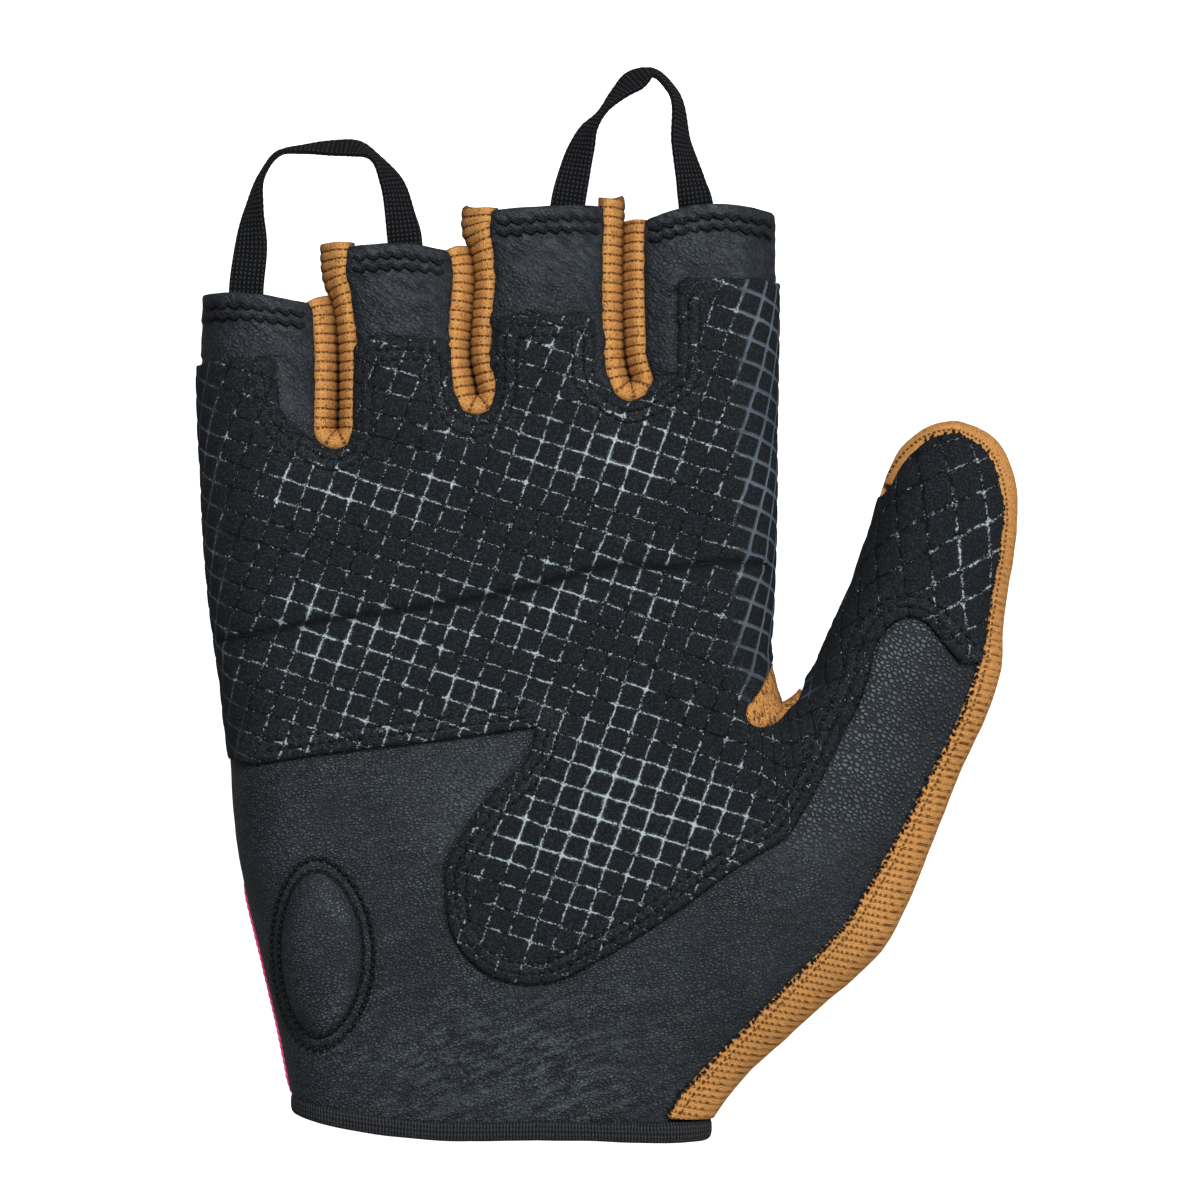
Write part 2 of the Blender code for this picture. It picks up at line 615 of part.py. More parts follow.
def grip_outline():
    """Plan outline of the grip panel: four tongues, both sides, the thumb's arm and the bulb."""
    valley = FOURCHETTE_REACH + SLOT_GAP / 2 + 2.2 * TONGUE_CORNER
    top = []
    for k, height in enumerate(TONGUES["top"]):
        high = hand_height(height)
        if TONGUES["left"][k] is not None:
            x = TONGUES["left"][k] * PALM_WIDTH
            foot = Sides.slots[k - 1][0]
            top += [foot + (0, -valley), (x - 0.3 * TONGUE_CORNER, foot[1] - 0.7 * valley)]
            top += [(x, foot[1]), (x, high - TONGUE_CORNER), (x + TONGUE_CORNER, high)]
        if TONGUES["right"][k] is not None:
            x = TONGUES["right"][k] * PALM_WIDTH
            foot = Sides.slots[k][0]
            top += [(x - TONGUE_CORNER, high), (x, high - TONGUE_CORNER), (x, foot[1])]
            top += [(x + 0.3 * TONGUE_CORNER, foot[1] - 0.7 * valley)]
    low = NOTCH_TOPS[1]
    return np.vstack([
        cut(Sides.pinky, hand_height(GRIP_SIDE_LOW), hand_height(GRIP_SIDE_HIGH)),
        np.array(top),
        cut(Sides.index, NOTCH_TOPS[0], hand_height(TONGUES["top"][3])),
        gusset_edge(GAP)[1:-1],
        cut(Sides.thumb_inner, low, thumb_height(BAND_START))[:-1],
        thumb_top(),
        smooth(on_thumb(GRIP_THUMB_EDGE), 0.7 * EDGE_STEP),
        smooth(on_hand(GRIP_BULB_EDGE), 0.8 * EDGE_STEP),
        smooth(on_hand(GRIP_LOWER_EDGE), EDGE_STEP)[1:],
    ])


def grip_panel():
    """The suede overlay with its four tongues, its bulb over the heel and its arm up the thumb."""
    patches = [(grip_outline(), palm_side, SEAM_HEIGHT + GAP / 2, False)]
    bm = sheet(patches, OVERLAY_GAP, OVERLAY_GAP + GRIP_WALL)
    add_piece("grip_panel", bm, material("grip_panel", (0.013, 0.016, 0.019), 0.85))


def thumb_top():
    """The grip panel's border along the knit band's seam, over the thumb and down to its own lower edge."""
    seam = seam_line(GAP)
    low = on_thumb(GRIP_THUMB_EDGE)[0, 1]
    highest = np.argmax(seam[:, 1])
    return np.vstack([seam[:highest], cut(seam[highest:], low + GAP, math.inf)])


def fourchette(name, k):
    """Knit channel between two fingers: from the palm's edge over a roll, down the slot and under."""
    places, turns = slot_stations(k, proud=2 * GAP)
    share = np.array([1.0, 0.62, 0.3, 0.1, 0.0])
    bulge = np.r_[FOURCHETTE_BULGE * np.sin(math.pi * share), np.zeros(len(share))][:, None]
    points, normals = [], []
    for place, turn in zip(places, turns):
        plan = place + turn * (share * FOURCHETTE_REACH + SLOT_GAP / 2)[:, None]
        over, over_ways = surface(plan, palm_side, SEAM_HEIGHT)
        under, under_ways = surface(plan[::-1], back_side, SEAM_HEIGHT)
        ways = np.vstack([over_ways, -under_ways])
        points.append(np.vstack([over, under]) + bulge * ways)
        normals.append(ways)
    wide = 2 * len(share)
    faces = [
        [i * wide + j, (i + 1) * wide + j, (i + 1) * wide + j + 1, i * wide + j + 1]
        for i in range(len(places) - 1) for j in range(wide - 1)
    ]
    bm = closed_wall(np.vstack(points), np.vstack(normals), faces, -KNIT_WALL, 0.0)
    add_piece(name, bm, material(name, TAN, 0.8))


def thumb_gusset():
    """Small knit gusset in the notch between palm and thumb, on the palm and on the back."""
    edge = gusset_edge(0.0)
    sides = np.vstack([
        cut(Sides.index, -math.inf, edge[0, 1])[1:],
        cut(Sides.thumb_inner, -math.inf, edge[-1, 1])[1:-1],
    ])
    outline = np.vstack([edge, sides[::-1]])
    patches = [(outline, palm_side, SEAM_HEIGHT, False), (outline, back_side, SEAM_HEIGHT, True)]
    add_piece("thumb_gusset", sheet(patches, -KNIT_WALL, 0.0), material("thumb_gusset", TAN, 0.8))


def wrist_binding():
    """Rolled band round the wrist's opening, just below the leather's and the back's edges."""
    left, right = Sides.pinky[0], Sides.thumb_outer[-1]
    spread = (1 - np.cos(np.linspace(0, math.pi, 19))) / 2
    angles = np.linspace(0, 2 * math.pi, 9)[:-1]
    loops = []
    for face, drop in ((palm_side, 0.0), (back_side, BACK_DROP)):
        edge = wrist_line(drop)
        x = left[0] + spread * (right[0] - left[0])
        plan = np.column_stack([x, np.interp(x, edge[:, 0], edge[:, 1])])
        heights = face(plan, SEAM_HEIGHT)
        plan[:, 1] -= OVERLAY_GAP + BINDING_HEIGHT / 2
        loops.append(np.column_stack([plan, heights]))
    path = np.vstack([loops[0], loops[1][::-1][1:-1]])
    run = np.roll(path, -1, axis=0) - np.roll(path, 1, axis=0)
    outward = np.column_stack([-run[:, 2], np.zeros(len(run)), run[:, 0]])
    outward /= np.linalg.norm(outward, axis=1)[:, None]
    centre = path - outward * BINDING_WALL / 2
    rows = [
        [
            place + way * math.cos(a) * BINDING_WALL / 2 + ALONG_HAND * math.sin(a) * BINDING_HEIGHT / 2
            for a in angles
        ]
        for place, way in zip(centre, outward)
    ]
    bm = grid(rows, closed_rows=True, closed_columns=True)
    add_piece("wrist_binding", bm, material("wrist_binding", (0.017, 0.017, 0.018), 0.85))


def pull_loop(table):
    """Woven webbing that starts flat under one finger's leather, turns on edge in an arch and comes down
    under the next finger's."""
    feet = np.column_stack([
        np.array([foot[0] for foot in table["feet"]]) * PALM_WIDTH,
        hand_height([foot[1] for foot in table["feet"]]),
    ])
    along = np.array(table["along"])[:, None]
    rise = np.array(table["rise"])
    arch = feet[0] + along * (feet[1] - feet[0])
    arch[:, 1] += rise * LOOP_RISE
    tucks = [foot - (0, LOOP_TUCK) for foot in feet]
    middles = [foot - (0, LOOP_TUCK / 2) for foot in feet]
    plan = np.vstack([tucks[0], middles[0], arch, middles[1], tucks[1]])
    turn = np.radians(np.r_[0, 0, table["turn"], 0, 0])
    edges = [plan + (side * WEBBING_WIDTH / 2, 0.0) for side in (-1, 0, 1)]
    leather = np.min([palm_side(edge, SEAM_HEIGHT) for edge in edges], axis=0)
    under = leather - LEATHER_WALL - 2 * GAP - WEBBING_THICK / 2
    ends = np.array([0, 1, 2, len(plan) - 3, len(plan) - 2, len(plan) - 1])
    heights = np.interp(lengths_along(plan), lengths_along(plan)[ends], under[ends])
    heights[2:-2] -= LOOP_DROOP * rise
    points = np.column_stack([plan, heights, turn * WEBBING_WIDTH])
    fine = smooth(points, 0.5 * EDGE_STEP)
    path, turn = fine[:, :3], fine[:, 3] / WEBBING_WIDTH
    run = np.gradient(path, axis=0)
    run /= np.linalg.norm(run, axis=1)[:, None]
    flat = np.cross(run, (0.0, 0.0, 1.0))
    flat /= np.linalg.norm(flat, axis=1)[:, None]
    upright = np.cross(flat, run)
    wide = flat * np.cos(turn)[:, None] + upright * np.sin(turn)[:, None]
    thick = np.cross(run, wide)
    corners = ((-1, -1), (1, -1), (1, 1), (-1, 1))
    rows = [
        [p + w * a * WEBBING_WIDTH / 2 + t * b * WEBBING_THICK / 2 for a, b in corners]
        for p, w, t in zip(path, wide, thick)
    ]
    bm = grid(rows, closed_columns=True)
    add_piece(table["name"], bm, material(table["name"], (0.012, 0.013, 0.014), 0.75))


def heel_pad():
    """Oval padded dome that is stitched on the heel of the palm."""
    middle = np.array([PAD_MIDDLE[0] * PALM_WIDTH, float(hand_height(PAD_MIDDLE[1]))])
    rings = []
    for share in (1.0, 0.8, 0.5):
        angles = np.linspace(0, 2 * math.pi, max(8, int(20 * share)) + 1)[:-1]
        lean = PAD_LEAN * PAD_WIDTH * np.cos(angles) ** 2 * (np.cos(angles) > 0)
        x = middle[0] + share * (PAD_WIDTH / 2 * np.cos(angles) + lean)
        rings.append(np.column_stack([x, middle[1] + share * PAD_LENGTH / 2 * np.sin(angles)]))
    rings.append(middle[None])
    heights = [PAD_EDGE, 0.72 * PAD_HEIGHT, 0.95 * PAD_HEIGHT, PAD_HEIGHT]
    count = len(rings[0])
    plan = np.vstack(rings)
    lift = np.concatenate([np.full(len(ring), h) for ring, h in zip(rings, heights)])
    edges = [(i, (i + 1) % count) for i in range(count)]
    corners, _, faces, origins, *_ = delaunay_2d_cdt([Vector(p) for p in plan], edges, [], 1, 1e-7)
    plan = np.array([tuple(c) for c in corners])
    lift = np.array([lift[origin[0]] for origin in origins])
    base = palm_side(plan, SEAM_HEIGHT + GAP / 2)
    bm = bmesh.new()
    for up in (False, True):
        heights = base + OVERLAY_GAP + (lift if up else 0.0)
        verts = [bm.verts.new((x, y, z)) for (x, y), z in zip(plan, heights)]
        for face in faces:
            bm.faces.new([verts[i] for i in (face if up else face[::-1])])
    open_edges = [edge for edge in bm.edges if edge.is_boundary]
    bmesh.ops.bridge_loops(bm, edges=open_edges)
    bmesh.ops.recalc_face_normals(bm, faces=bm.faces)
    add_piece("heel_pad", bm, material("heel_pad", (0.024, 0.028, 0.036), 0.5))


def side_piping():
    """Narrow bright piping along the pinky side's seam, from the wrist to the height of the pad."""
    line = cut(Sides.pinky, hand_height(PIPING_SPAN[0]), hand_height(PIPING_SPAN[1]))
    out = left_normals(line)
    rows = []
    for place, way in zip(line, out):
        near, far = place + way * GAP, place + way * (GAP + PIPING_WIDTH)
        low, high = SEAM_HEIGHT - PIPING_HEIGHT / 2, SEAM_HEIGHT + PIPING_HEIGHT / 2
        rows.append([(*near, low), (*far, low), (*far, high), (*near, high)])
    bm = grid(rows, closed_columns=True)
    add_piece("side_piping", bm, material("side_piping", (0.83, 0.07, 0.24), 0.7))


def rest_at_origin():
    """Moves the glove so that the middle of its base is the origin."""
    bpy.context.view_layer.update()
    graph = bpy.context.evaluated_depsgraph_get()
    corners = []
    for piece in GLOVE.objects:
        if piece.type == "MESH":
            mesh = piece.evaluated_get(graph).data
            points = np.empty(len(mesh.vertices) * 3)
            mesh.vertices.foreach_get("co", points)
            points = points.reshape(-1, 3)
            corners += [points.min(axis=0), points.max(axis=0)]
    low, high = np.min(corners, axis=0), np.max(corners, axis=0)
    ROOT.location = (-(low[0] + high[0]) / 2, -(low[1] + high[1]) / 2, -low[2])
    bpy.context.view_layer.update()


for old in list(bpy.data.objects):
    bpy.data.objects.remove(old, do_unlink=True)
GLOVE = bpy.data.collections.new("wheelchair_glove")
bpy.context.scene.collection.children.link(GLOVE)
ROOT = bpy.data.objects.new("glove_base", None)
GLOVE.objects.link(ROOT)
WALL_POINTS = wall_points()

palm_leather()
back_fabric()
grip_panel()
for number, slot_name in enumerate(("pinky_ring", "ring_middle", "middle_index")):
    fourchette("fourchette_" + slot_name, number)
thumb_gusset()
wrist_binding()
for loop in LOOPS:
    pull_loop(loop)
heel_pad()
side_piping()
rest_at_origin()
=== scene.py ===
"""Looks of a right-hand wheelchair glove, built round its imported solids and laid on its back.

Every panel is a surface worked out with numpy over the glove's plan, which is drawn by the same side lines
as the solids. Plan positions are in metres: x runs across the palm, y from the wrist seam to the fingers.
"""

import math

import bpy
import numpy as np
from bpy.props import FloatProperty, FloatVectorProperty, IntProperty, PointerProperty
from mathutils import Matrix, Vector


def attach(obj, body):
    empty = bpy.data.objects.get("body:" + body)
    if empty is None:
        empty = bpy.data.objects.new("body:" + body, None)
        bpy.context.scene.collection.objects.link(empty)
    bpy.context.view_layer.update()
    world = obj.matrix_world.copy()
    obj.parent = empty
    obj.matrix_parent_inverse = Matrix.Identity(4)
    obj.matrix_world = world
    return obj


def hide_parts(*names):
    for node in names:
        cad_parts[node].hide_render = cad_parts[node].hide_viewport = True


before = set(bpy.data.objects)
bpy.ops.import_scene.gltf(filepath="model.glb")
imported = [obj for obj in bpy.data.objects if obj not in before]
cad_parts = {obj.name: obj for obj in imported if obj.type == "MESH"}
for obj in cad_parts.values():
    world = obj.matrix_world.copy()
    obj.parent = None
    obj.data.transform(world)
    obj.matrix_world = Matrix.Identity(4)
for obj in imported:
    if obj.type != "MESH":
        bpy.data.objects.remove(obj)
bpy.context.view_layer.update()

bl_info = {
    "name": "Wheelchair glove",
    "version": (1, 0, 0),
    "blender": (4, 5, 0),
    "location": "View3D > Sidebar > Glove",
    "description": "Builds a wheelchair glove's leather, grip overlay, knit, pull loops and stitches",
    "category": "Add Mesh",
}

MM = 0.001
SHIFT = np.array([-0.02024489, -0.08654512])  # from the plan's origin to the row's

# Sizes that the glove shares with its solids
PALM_WIDTH = 0.1013
HAND_LENGTH = 0.117
SLEEVE_LENGTH = 0.0378
CROTCH_HEIGHT = 0.070
THUMB_LENGTH = 0.0487
THUMB_SPREAD = 0.0408
GUSSET_WIDTH = 0.0103
BACK_DROP = 0.0024
SEAM_HEIGHT = 0.008
PALM_CROWN = 0.012
THUMB_CROWN = 0.0095
SIDE_ROUND = 0.011
BACK_ROUND = 0.008
CREASE_DEPTH = 0.0012
CREASE_WIDTH = 0.003
LEATHER_WALL = 0.0012
KNIT_WALL = 0.0015
GRIP_WALL = 0.0008
GAP = 0.0003
OVERLAY_GAP = 0.0004
SLOT_GAP = 0.0006
FOURCHETTE_REACH = 0.0031
SIDE_BAND = 0.0079
BINDING_HEIGHT = 0.003
BINDING_WALL = 0.0024
TONGUE_CORNER = 0.0018
PAD_HEIGHT = 0.0022
PIPING_WIDTH = 0.0006
PIPING_HEIGHT = 0.0016
LOOP_RISE = 0.0245
LOOP_DROOP = 0.003
LOOP_TUCK = 0.008
WEBBING_WIDTH = 0.006
WEBBING_THICK = 0.001

# Tables. "across" is a share of PALM_WIDTH, from the palm's middle. "up" counts 0 at the wrist seam, 1 at
# HAND_LENGTH and 2 at the longest rim, except in the thumb's tables, where 1 is the notch and 2 the tip,
# and in INDEX_SIDE, where 0 is the notch. "out" is a share of THUMB_SPREAD, from the palm's edge.
PINKY_SIDE = dict(
    across=(-0.334, -0.356, -0.380, -0.414, -0.433, -0.439, -0.450, -0.465, -0.476, -0.483, -0.490, -0.486),
    up=(0.022, 0.118, 0.207, 0.331, 0.426, 0.512, 0.593, 0.700, 0.809, 0.926, 1.269, 1.610),
)
INDEX_SIDE = dict(across=(0.490, 0.493, 0.490, 0.487, 0.483), up=(1.982, 1.668, 0.993, 0.524, 0.304))
THUMB_INNER = dict(
    out=(0.241, 0.308, 0.380, 0.435, 0.477, 0.544, 0.654), up=(1.286, 1.406, 1.587, 1.756, 1.852, 1.926, 1.990)
)
# "band" is the width of the knit band along the thumb's outer side, as a share of SIDE_BAND.
THUMB_OUTER = dict(
    out=(0.735, 0.899, 0.992, 1.0, 0.987, 0.941, 0.924, 0.869, 0.764, 0.629, 0.515, 0.443, 0.329, 0.169, 0.008,
         -0.131, -0.228, -0.291),
    up=(2.0, 1.943, 1.774, 1.675, 1.551, 1.293, 1.095, 0.971, 0.840, 0.641, 0.482, 0.403, 0.332, 0.253, 0.167,
        0.093, 0.027, -0.027),
    band=(0.28, 0.40, 0.40, 0.36, 0.36, 0.38, 0.50, 0.50, 0.50, 0.72, 0.94, 0.98, 0.96, 0.86, 0.80,
          0.75, 0.78, 0.98),
)
BAND_START = 1.756
NOTCH_ACROSS = 0.505
NOTCH_PALM = dict(right=(-0.233, -0.150, -0.067, 0.0), above=(0.80, 0.52, 0.22, 0.0))
NOTCH_THUMB = dict(right=(0.130, 0.367), above=(0.067, 0.283))
GUSSET_EDGE = dict(
    right=(-0.197, -0.330, -0.500, -0.700, -0.650, -0.450, -0.183, 0.100, 0.267, 0.367),
    above=(0.68, 0.450, 0.180, -0.100, -0.283, -0.400, -0.350, -0.133, 0.050, 0.283),
)
SLOTS = (
    dict(across=(-0.254, -0.253, -0.256, -0.264, -0.277, -0.284, -0.284),
         up=(1.009, 1.236, 1.432, 1.582, 1.659, 1.764, 1.865)),
    dict(across=(-0.016, -0.028, -0.025, -0.022, -0.030, -0.043, -0.043),
         up=(1.164, 1.318, 1.523, 1.727, 1.830, 1.900, 2.0)),
    dict(across=(0.245, 0.237, 0.2335, 0.232, 0.234), up=(1.227, 1.309, 1.455, 1.645, 2.03)),
)
RIMS = dict(
    left=(1.610, 1.811, 1.992, 1.947), middle=(1.600, 1.830, 1.998, 2.010), right=(1.588, 1.833, 2.000, 1.982)
)
TONGUES = dict(
    left=(None, -0.2165, 0.0235, 0.3285), right=(-0.357, -0.0655, 0.1785, None), top=(1.312, 1.395, 1.504, 1.668)
)
GRIP_THUMB_EDGE = dict(
    out=(0.747, 0.667, 0.570, 0.515, 0.435, 0.384, 0.329, 0.241, 0.160, 0.084, 0.004),
    up=(1.148, 1.230, 1.311, 1.315, 1.276, 1.209, 1.039, 0.929, 0.835, 0.754, 0.681),
)
GRIP_BULB_EDGE = dict(
    across=(0.427, 0.310, 0.179, 0.121, 0.069, 0.001, -0.052, -0.062, -0.059, -0.038, 0.026, 0.072, 0.094),
    up=(0.371, 0.297, 0.227, 0.202, 0.196, 0.213, 0.269, 0.315, 0.371, 0.402, 0.477, 0.513, 0.571),
)
GRIP_LOWER_EDGE = dict(across=(0.094, -0.082, -0.293, -0.381), up=(0.571, 0.550, 0.528, 0.516))
GRIP_SIDE_LOW = 0.518
GRIP_SIDE_HIGH = 1.290
PALM_CREASE = dict(
    across=(-0.445, -0.267, -0.082, 0.089, 0.193, 0.322, 0.385, 0.443, 0.493),
    up=(0.690, 0.720, 0.741, 0.771, 0.797, 0.797, 0.803, 0.803, 0.802),
)
WRIST = dict(along=(0.0, 0.15, 0.31, 0.64, 1.0), sag=(0.0, -0.011, -0.018, -0.007, 0.0))
CROWN = dict(up=(-0.05, 0.25, 0.6, 1.0, 1.4, 2.0), rise=(0.72, 0.95, 1.0, 0.86, 0.74, 0.66))
CROWN_BLEND = dict(across=(0.4, 0.5), out=(0.0, 0.35))
PIPING_SPAN = (0.022, 0.331)
BAND_LAP = 0.0007  # how far the thumb's band laps over the leather at its seam
PAD_MIDDLE = (-0.282, 0.236)
PAD_LEAN = 0.12
# "along" is a share of the way between a loop's feet, "rise" a share of LOOP_RISE, and "turn" the degrees by
# which the webbing is turned on its edge there.
LOOPS = (
    dict(name="pull_loop_outer", feet=((-0.407, 1.627), (-0.137, 1.832)),
         along=(0.0, 0.025, 0.04, 0.09, 0.19, 0.36, 0.54, 0.68, 0.80, 0.91, 0.97, 1.0),
         rise=(0.0, 0.29, 0.56, 0.80, 0.92, 0.90, 0.85, 0.80, 0.70, 0.49, 0.22, 0.0),
         turn=(0, 12, 52, 78, 82, 72, 60, 58, 76, 52, 30, 0)),
    dict(name="pull_loop_inner", feet=((0.137, 1.985), (0.356, 1.998)),
         along=(0.0, 0.05, 0.11, 0.17, 0.26, 0.40, 0.52, 0.68, 0.82, 0.89, 0.96, 1.0),
         rise=(0.0, 0.26, 0.46, 0.60, 0.70, 0.84, 0.93, 0.98, 0.85, 0.47, 0.20, 0.0),
         turn=(0, 20, 40, 62, 78, 62, 45, 72, 74, 55, 30, 0)),
)

# How far the overlay stays below the slots' feet, and how far each tongue's right side leans over to its slot.
VALLEY_DROP = 0.0015
VALLEY_LEAN = (0.34, 0.25, 0.0)
# The right arm of each slot's knit widens towards the rim: by how much, and between which heights.
FLARE = dict(extra=(0.0017, 0.0019, 0.0), low=(1.52, 1.74, 1.9), high=(1.80, 1.95, 2.0))

LINE_STEP = 0.0022
INSET_STEP = 0.0006
INSET_KEPT = 0.97  # an inset's points that come closer to the line than this share of its reach are left out
EDGE_BULGE = 0.3  # how far a wall's rounded edge stands out, as a share of its thickness
CHUNK = 20000  # points that are measured at once, to spare memory
TOUCH = 1e-6
SLOPE_STEP = 2e-5
FIELD_STEP = 0.0005  # spacing of the table of side distances
FIELD_LOW = (-0.055, -0.012)
FIELD_COUNTS = (300, 346)
EXACT_REACH = 0.0012  # closer to a side than this, the distance is measured and not looked up
COARSE = 1.0


def level(share, *marks):
    """Height of a share that counts from mark to mark, carried on in a straight line past the last."""
    share = np.asarray(share, float)
    step = np.clip(np.floor(share).astype(int), 0, len(marks) - 2)
    low, high = np.take(marks, step), np.take(marks, step + 1)
    return low + (share - step) * (high - low)


def hand_height(share):
    return level(share, 0.0, HAND_LENGTH, HAND_LENGTH + SLEEVE_LENGTH)


def thumb_height(share):
    return level(share, 0.0, CROTCH_HEIGHT, CROTCH_HEIGHT + THUMB_LENGTH)


def on_hand(table):
    return np.column_stack([np.array(table["across"]) * PALM_WIDTH, hand_height(table["up"])])


def on_thumb(table):
    return np.column_stack([PALM_WIDTH / 2 + np.array(table["out"]) * THUMB_SPREAD, thumb_height(table["up"])])


def at_notch(table):
    corner = np.array([PALM_WIDTH * NOTCH_ACROSS, CROTCH_HEIGHT])
    return corner + GUSSET_WIDTH * np.column_stack([table["right"], table["above"]])


def lengths_along(line):
    return np.r_[0, np.cumsum(np.linalg.norm(np.diff(line, axis=0), axis=1))]


def unit(vectors):
    """Rows of vectors, each made one long."""
    return vectors / np.linalg.norm(vectors, axis=1)[:, None]


def at_lengths(line, marks, run):
    """Points of a line, or other columns along it, at marks along its run of lengths."""
    return np.column_stack([np.interp(marks, run, column) for column in line.T])


def spaced(line, step):
    """The same line with its points evenly spaced, about one step apart."""
    return carried(line, step)[0]


def carried(line, step, *others):
    """The line and other columns of numbers along it, at points of the line about one step apart."""
    run = lengths_along(line)
    marks = np.linspace(0, run[-1], max(2, round(run[-1] / step) + 1))
    return [at_lengths(part, marks, run) for part in (line, *others)]


def smooth(points, step=LINE_STEP):
    """A cubic Hermite line through the points, whose slope at each is that of its neighbours' chord."""
    points = np.asarray(points, float)
    chord = lengths_along(points)
    slope = np.gradient(points, chord, axis=0)
    fine = np.linspace(0, chord[-1], 24 * len(points))
    k = np.clip(np.searchsorted(chord, fine, "right") - 1, 0, len(points) - 2)
    width = (chord[k + 1] - chord[k])[:, None]
    t = (fine - chord[k])[:, None] / width
    line = (
        (2 * t**3 - 3 * t**2 + 1) * points[k]
        + (t**3 - 2 * t**2 + t) * width * slope[k]
        + (3 * t**2 - 2 * t**3) * points[k + 1]
        + (t**3 - t**2) * width * slope[k + 1]
    )
    return spaced(line, step)


def eased(line, reach=5):
    """An evenly spaced line with its corners rounded by running means, and its ends kept."""
    for _ in range(2):
        padded = np.vstack([2 * line[0] - line[reach:0:-1], line, 2 * line[-1] - line[-2:-reach - 2:-1]])
        total = np.cumsum(np.vstack([np.zeros(padded.shape[1]), padded]), axis=0)
        line = (total[2 * reach + 1:] - total[:-2 * reach - 1]) / (2 * reach + 1)
    return line


def left_normals(line):
    """Unit vectors to the left of a plan line's direction, at each of its points."""
    run = unit(np.gradient(line, axis=0))
    return np.column_stack([-run[:, 1], run[:, 0]])


def chunks(count):
    return (slice(first, first + CHUNK) for first in range(0, count, CHUNK))


def nearest(points, line):
    """Distance from each plan point to a line, the place on it, and whether the point is on its left."""
    start, run = line[:-1], np.diff(line, axis=0)
    square = (run * run).sum(-1)
    reach, place, left = np.empty(len(points)), np.empty((len(points), 2)), np.empty(len(points), bool)
    for part in chunks(len(points)):
        offset = points[part, None] - start
        t = np.clip((offset * run).sum(-1) / square, 0, 1)
        rest = offset - t[..., None] * run
        lengths = (rest * rest).sum(-1)
        k = lengths.argmin(axis=1)
        rows = np.arange(len(k))
        reach[part] = np.sqrt(lengths[rows, k])
        place[part] = start[k] + t[rows, k, None] * run[k]
        way = offset[rows, k]
        left[part] = run[k, 0] * way[:, 1] - run[k, 1] * way[:, 0] > 0
    return reach, place, left


def distance(points, line):
    return nearest(points, line)[0]


def least_distance(points, lines):
    return np.min([distance(points, line) for line in lines], axis=0)


def cut(line, low, high):
    """The stretch of a rising or falling line between two heights, with its ends put on them."""
    flipped = line[0, 1] > line[-1, 1]
    line = line[::-1] if flipped else line
    low, high = max(low, line[0, 1]), min(high, line[-1, 1])
    margin = 0.15 * LINE_STEP
    between = line[(line[:, 1] > low + margin) & (line[:, 1] < high - margin)]
    ends = [(np.interp(y, line[:, 1], line[:, 0]), y) for y in (low, high)]
    part = np.vstack([ends[0], between, ends[1]])
    return part[::-1] if flipped else part


class Sides:
    """The plan lines that the panels turn down to, all at the height of the side seams."""

    pinky = smooth(on_hand(PINKY_SIDE))
    index = smooth(
        np.vstack([
            np.column_stack([
                np.array(INDEX_SIDE["across"]) * PALM_WIDTH,
                level(INDEX_SIDE["up"], CROTCH_HEIGHT, HAND_LENGTH, HAND_LENGTH + SLEEVE_LENGTH),
            ]),
            at_notch(NOTCH_PALM),
        ])
    )
    thumb_inner = smooth(
        np.vstack([
            at_notch(NOTCH_PALM)[-1], at_notch(NOTCH_THUMB), on_thumb(THUMB_INNER), on_thumb(THUMB_OUTER)[0],
        ])
    )
    thumb_outer = smooth(on_thumb(THUMB_OUTER))
    slots = [smooth(on_hand(table)) for table in SLOTS]


NOTCH_TOPS = at_notch(GUSSET_EDGE)[[0, -1], 1] + 3 * GAP
THUMB_SIDE = np.vstack([Sides.thumb_inner, Sides.thumb_outer[1:]])
CREASE = smooth(on_hand(PALM_CREASE))
NOTCH = Sides.index[-1]


def measured_side_distance(points):
    """Distance in plan to the nearest side or slot, negative just outside it."""
    reaches = []
    for line in (Sides.pinky, Sides.index, THUMB_SIDE):
        reach, _, left = nearest(points, line)
        reaches.append(np.where(left, -reach, reach))
    reaches += [distance(points, line) - SLOT_GAP / 2 for line in Sides.slots]
    reaches = np.array(reaches)
    least = reaches[np.abs(reaches).argmin(axis=0), np.arange(len(points))]
    least = np.where(least < -2 * SLOPE_STEP, -least, least)
    return np.where(np.abs(least) < TOUCH, 0.0, least)


def side_table():
    """Side distances on a net over the plan, for points that aren't close to a side."""
    x, y = (FIELD_LOW[k] + FIELD_STEP * np.arange(FIELD_COUNTS[k]) for k in (0, 1))
    net = np.column_stack([np.repeat(x, len(y)), np.tile(y, len(x))])
    return measured_side_distance(net).reshape(len(x), len(y))


SIDE_TABLE = side_table()


def side_distance(points):
    """The table's distance by bilinear interpolation, or the measured one close to a side."""
    place = (points - FIELD_LOW) / FIELD_STEP
    k = np.clip(np.floor(place).astype(int), 0, np.array(FIELD_COUNTS) - 2)
    fx, fy = np.clip(place - k, 0, 1).T
    i, j = k.T
    t = SIDE_TABLE
    reach = (t[i, j] * (1 - fx) + t[i + 1, j] * fx) * (1 - fy) + (t[i, j + 1] * (1 - fx) + t[i + 1, j + 1] * fx) * fy
    close = np.abs(reach) < EXACT_REACH
    if close.any():
        reach[close] = measured_side_distance(points[close])
    return reach


def rounding(share):
    """Quarter of a circle: 0 at a side and 1 from a share of 1 on, and its mirror image outside."""
    return np.sign(share) * np.sqrt(1 - (1 - np.clip(np.abs(share), 0, 1)) ** 2)


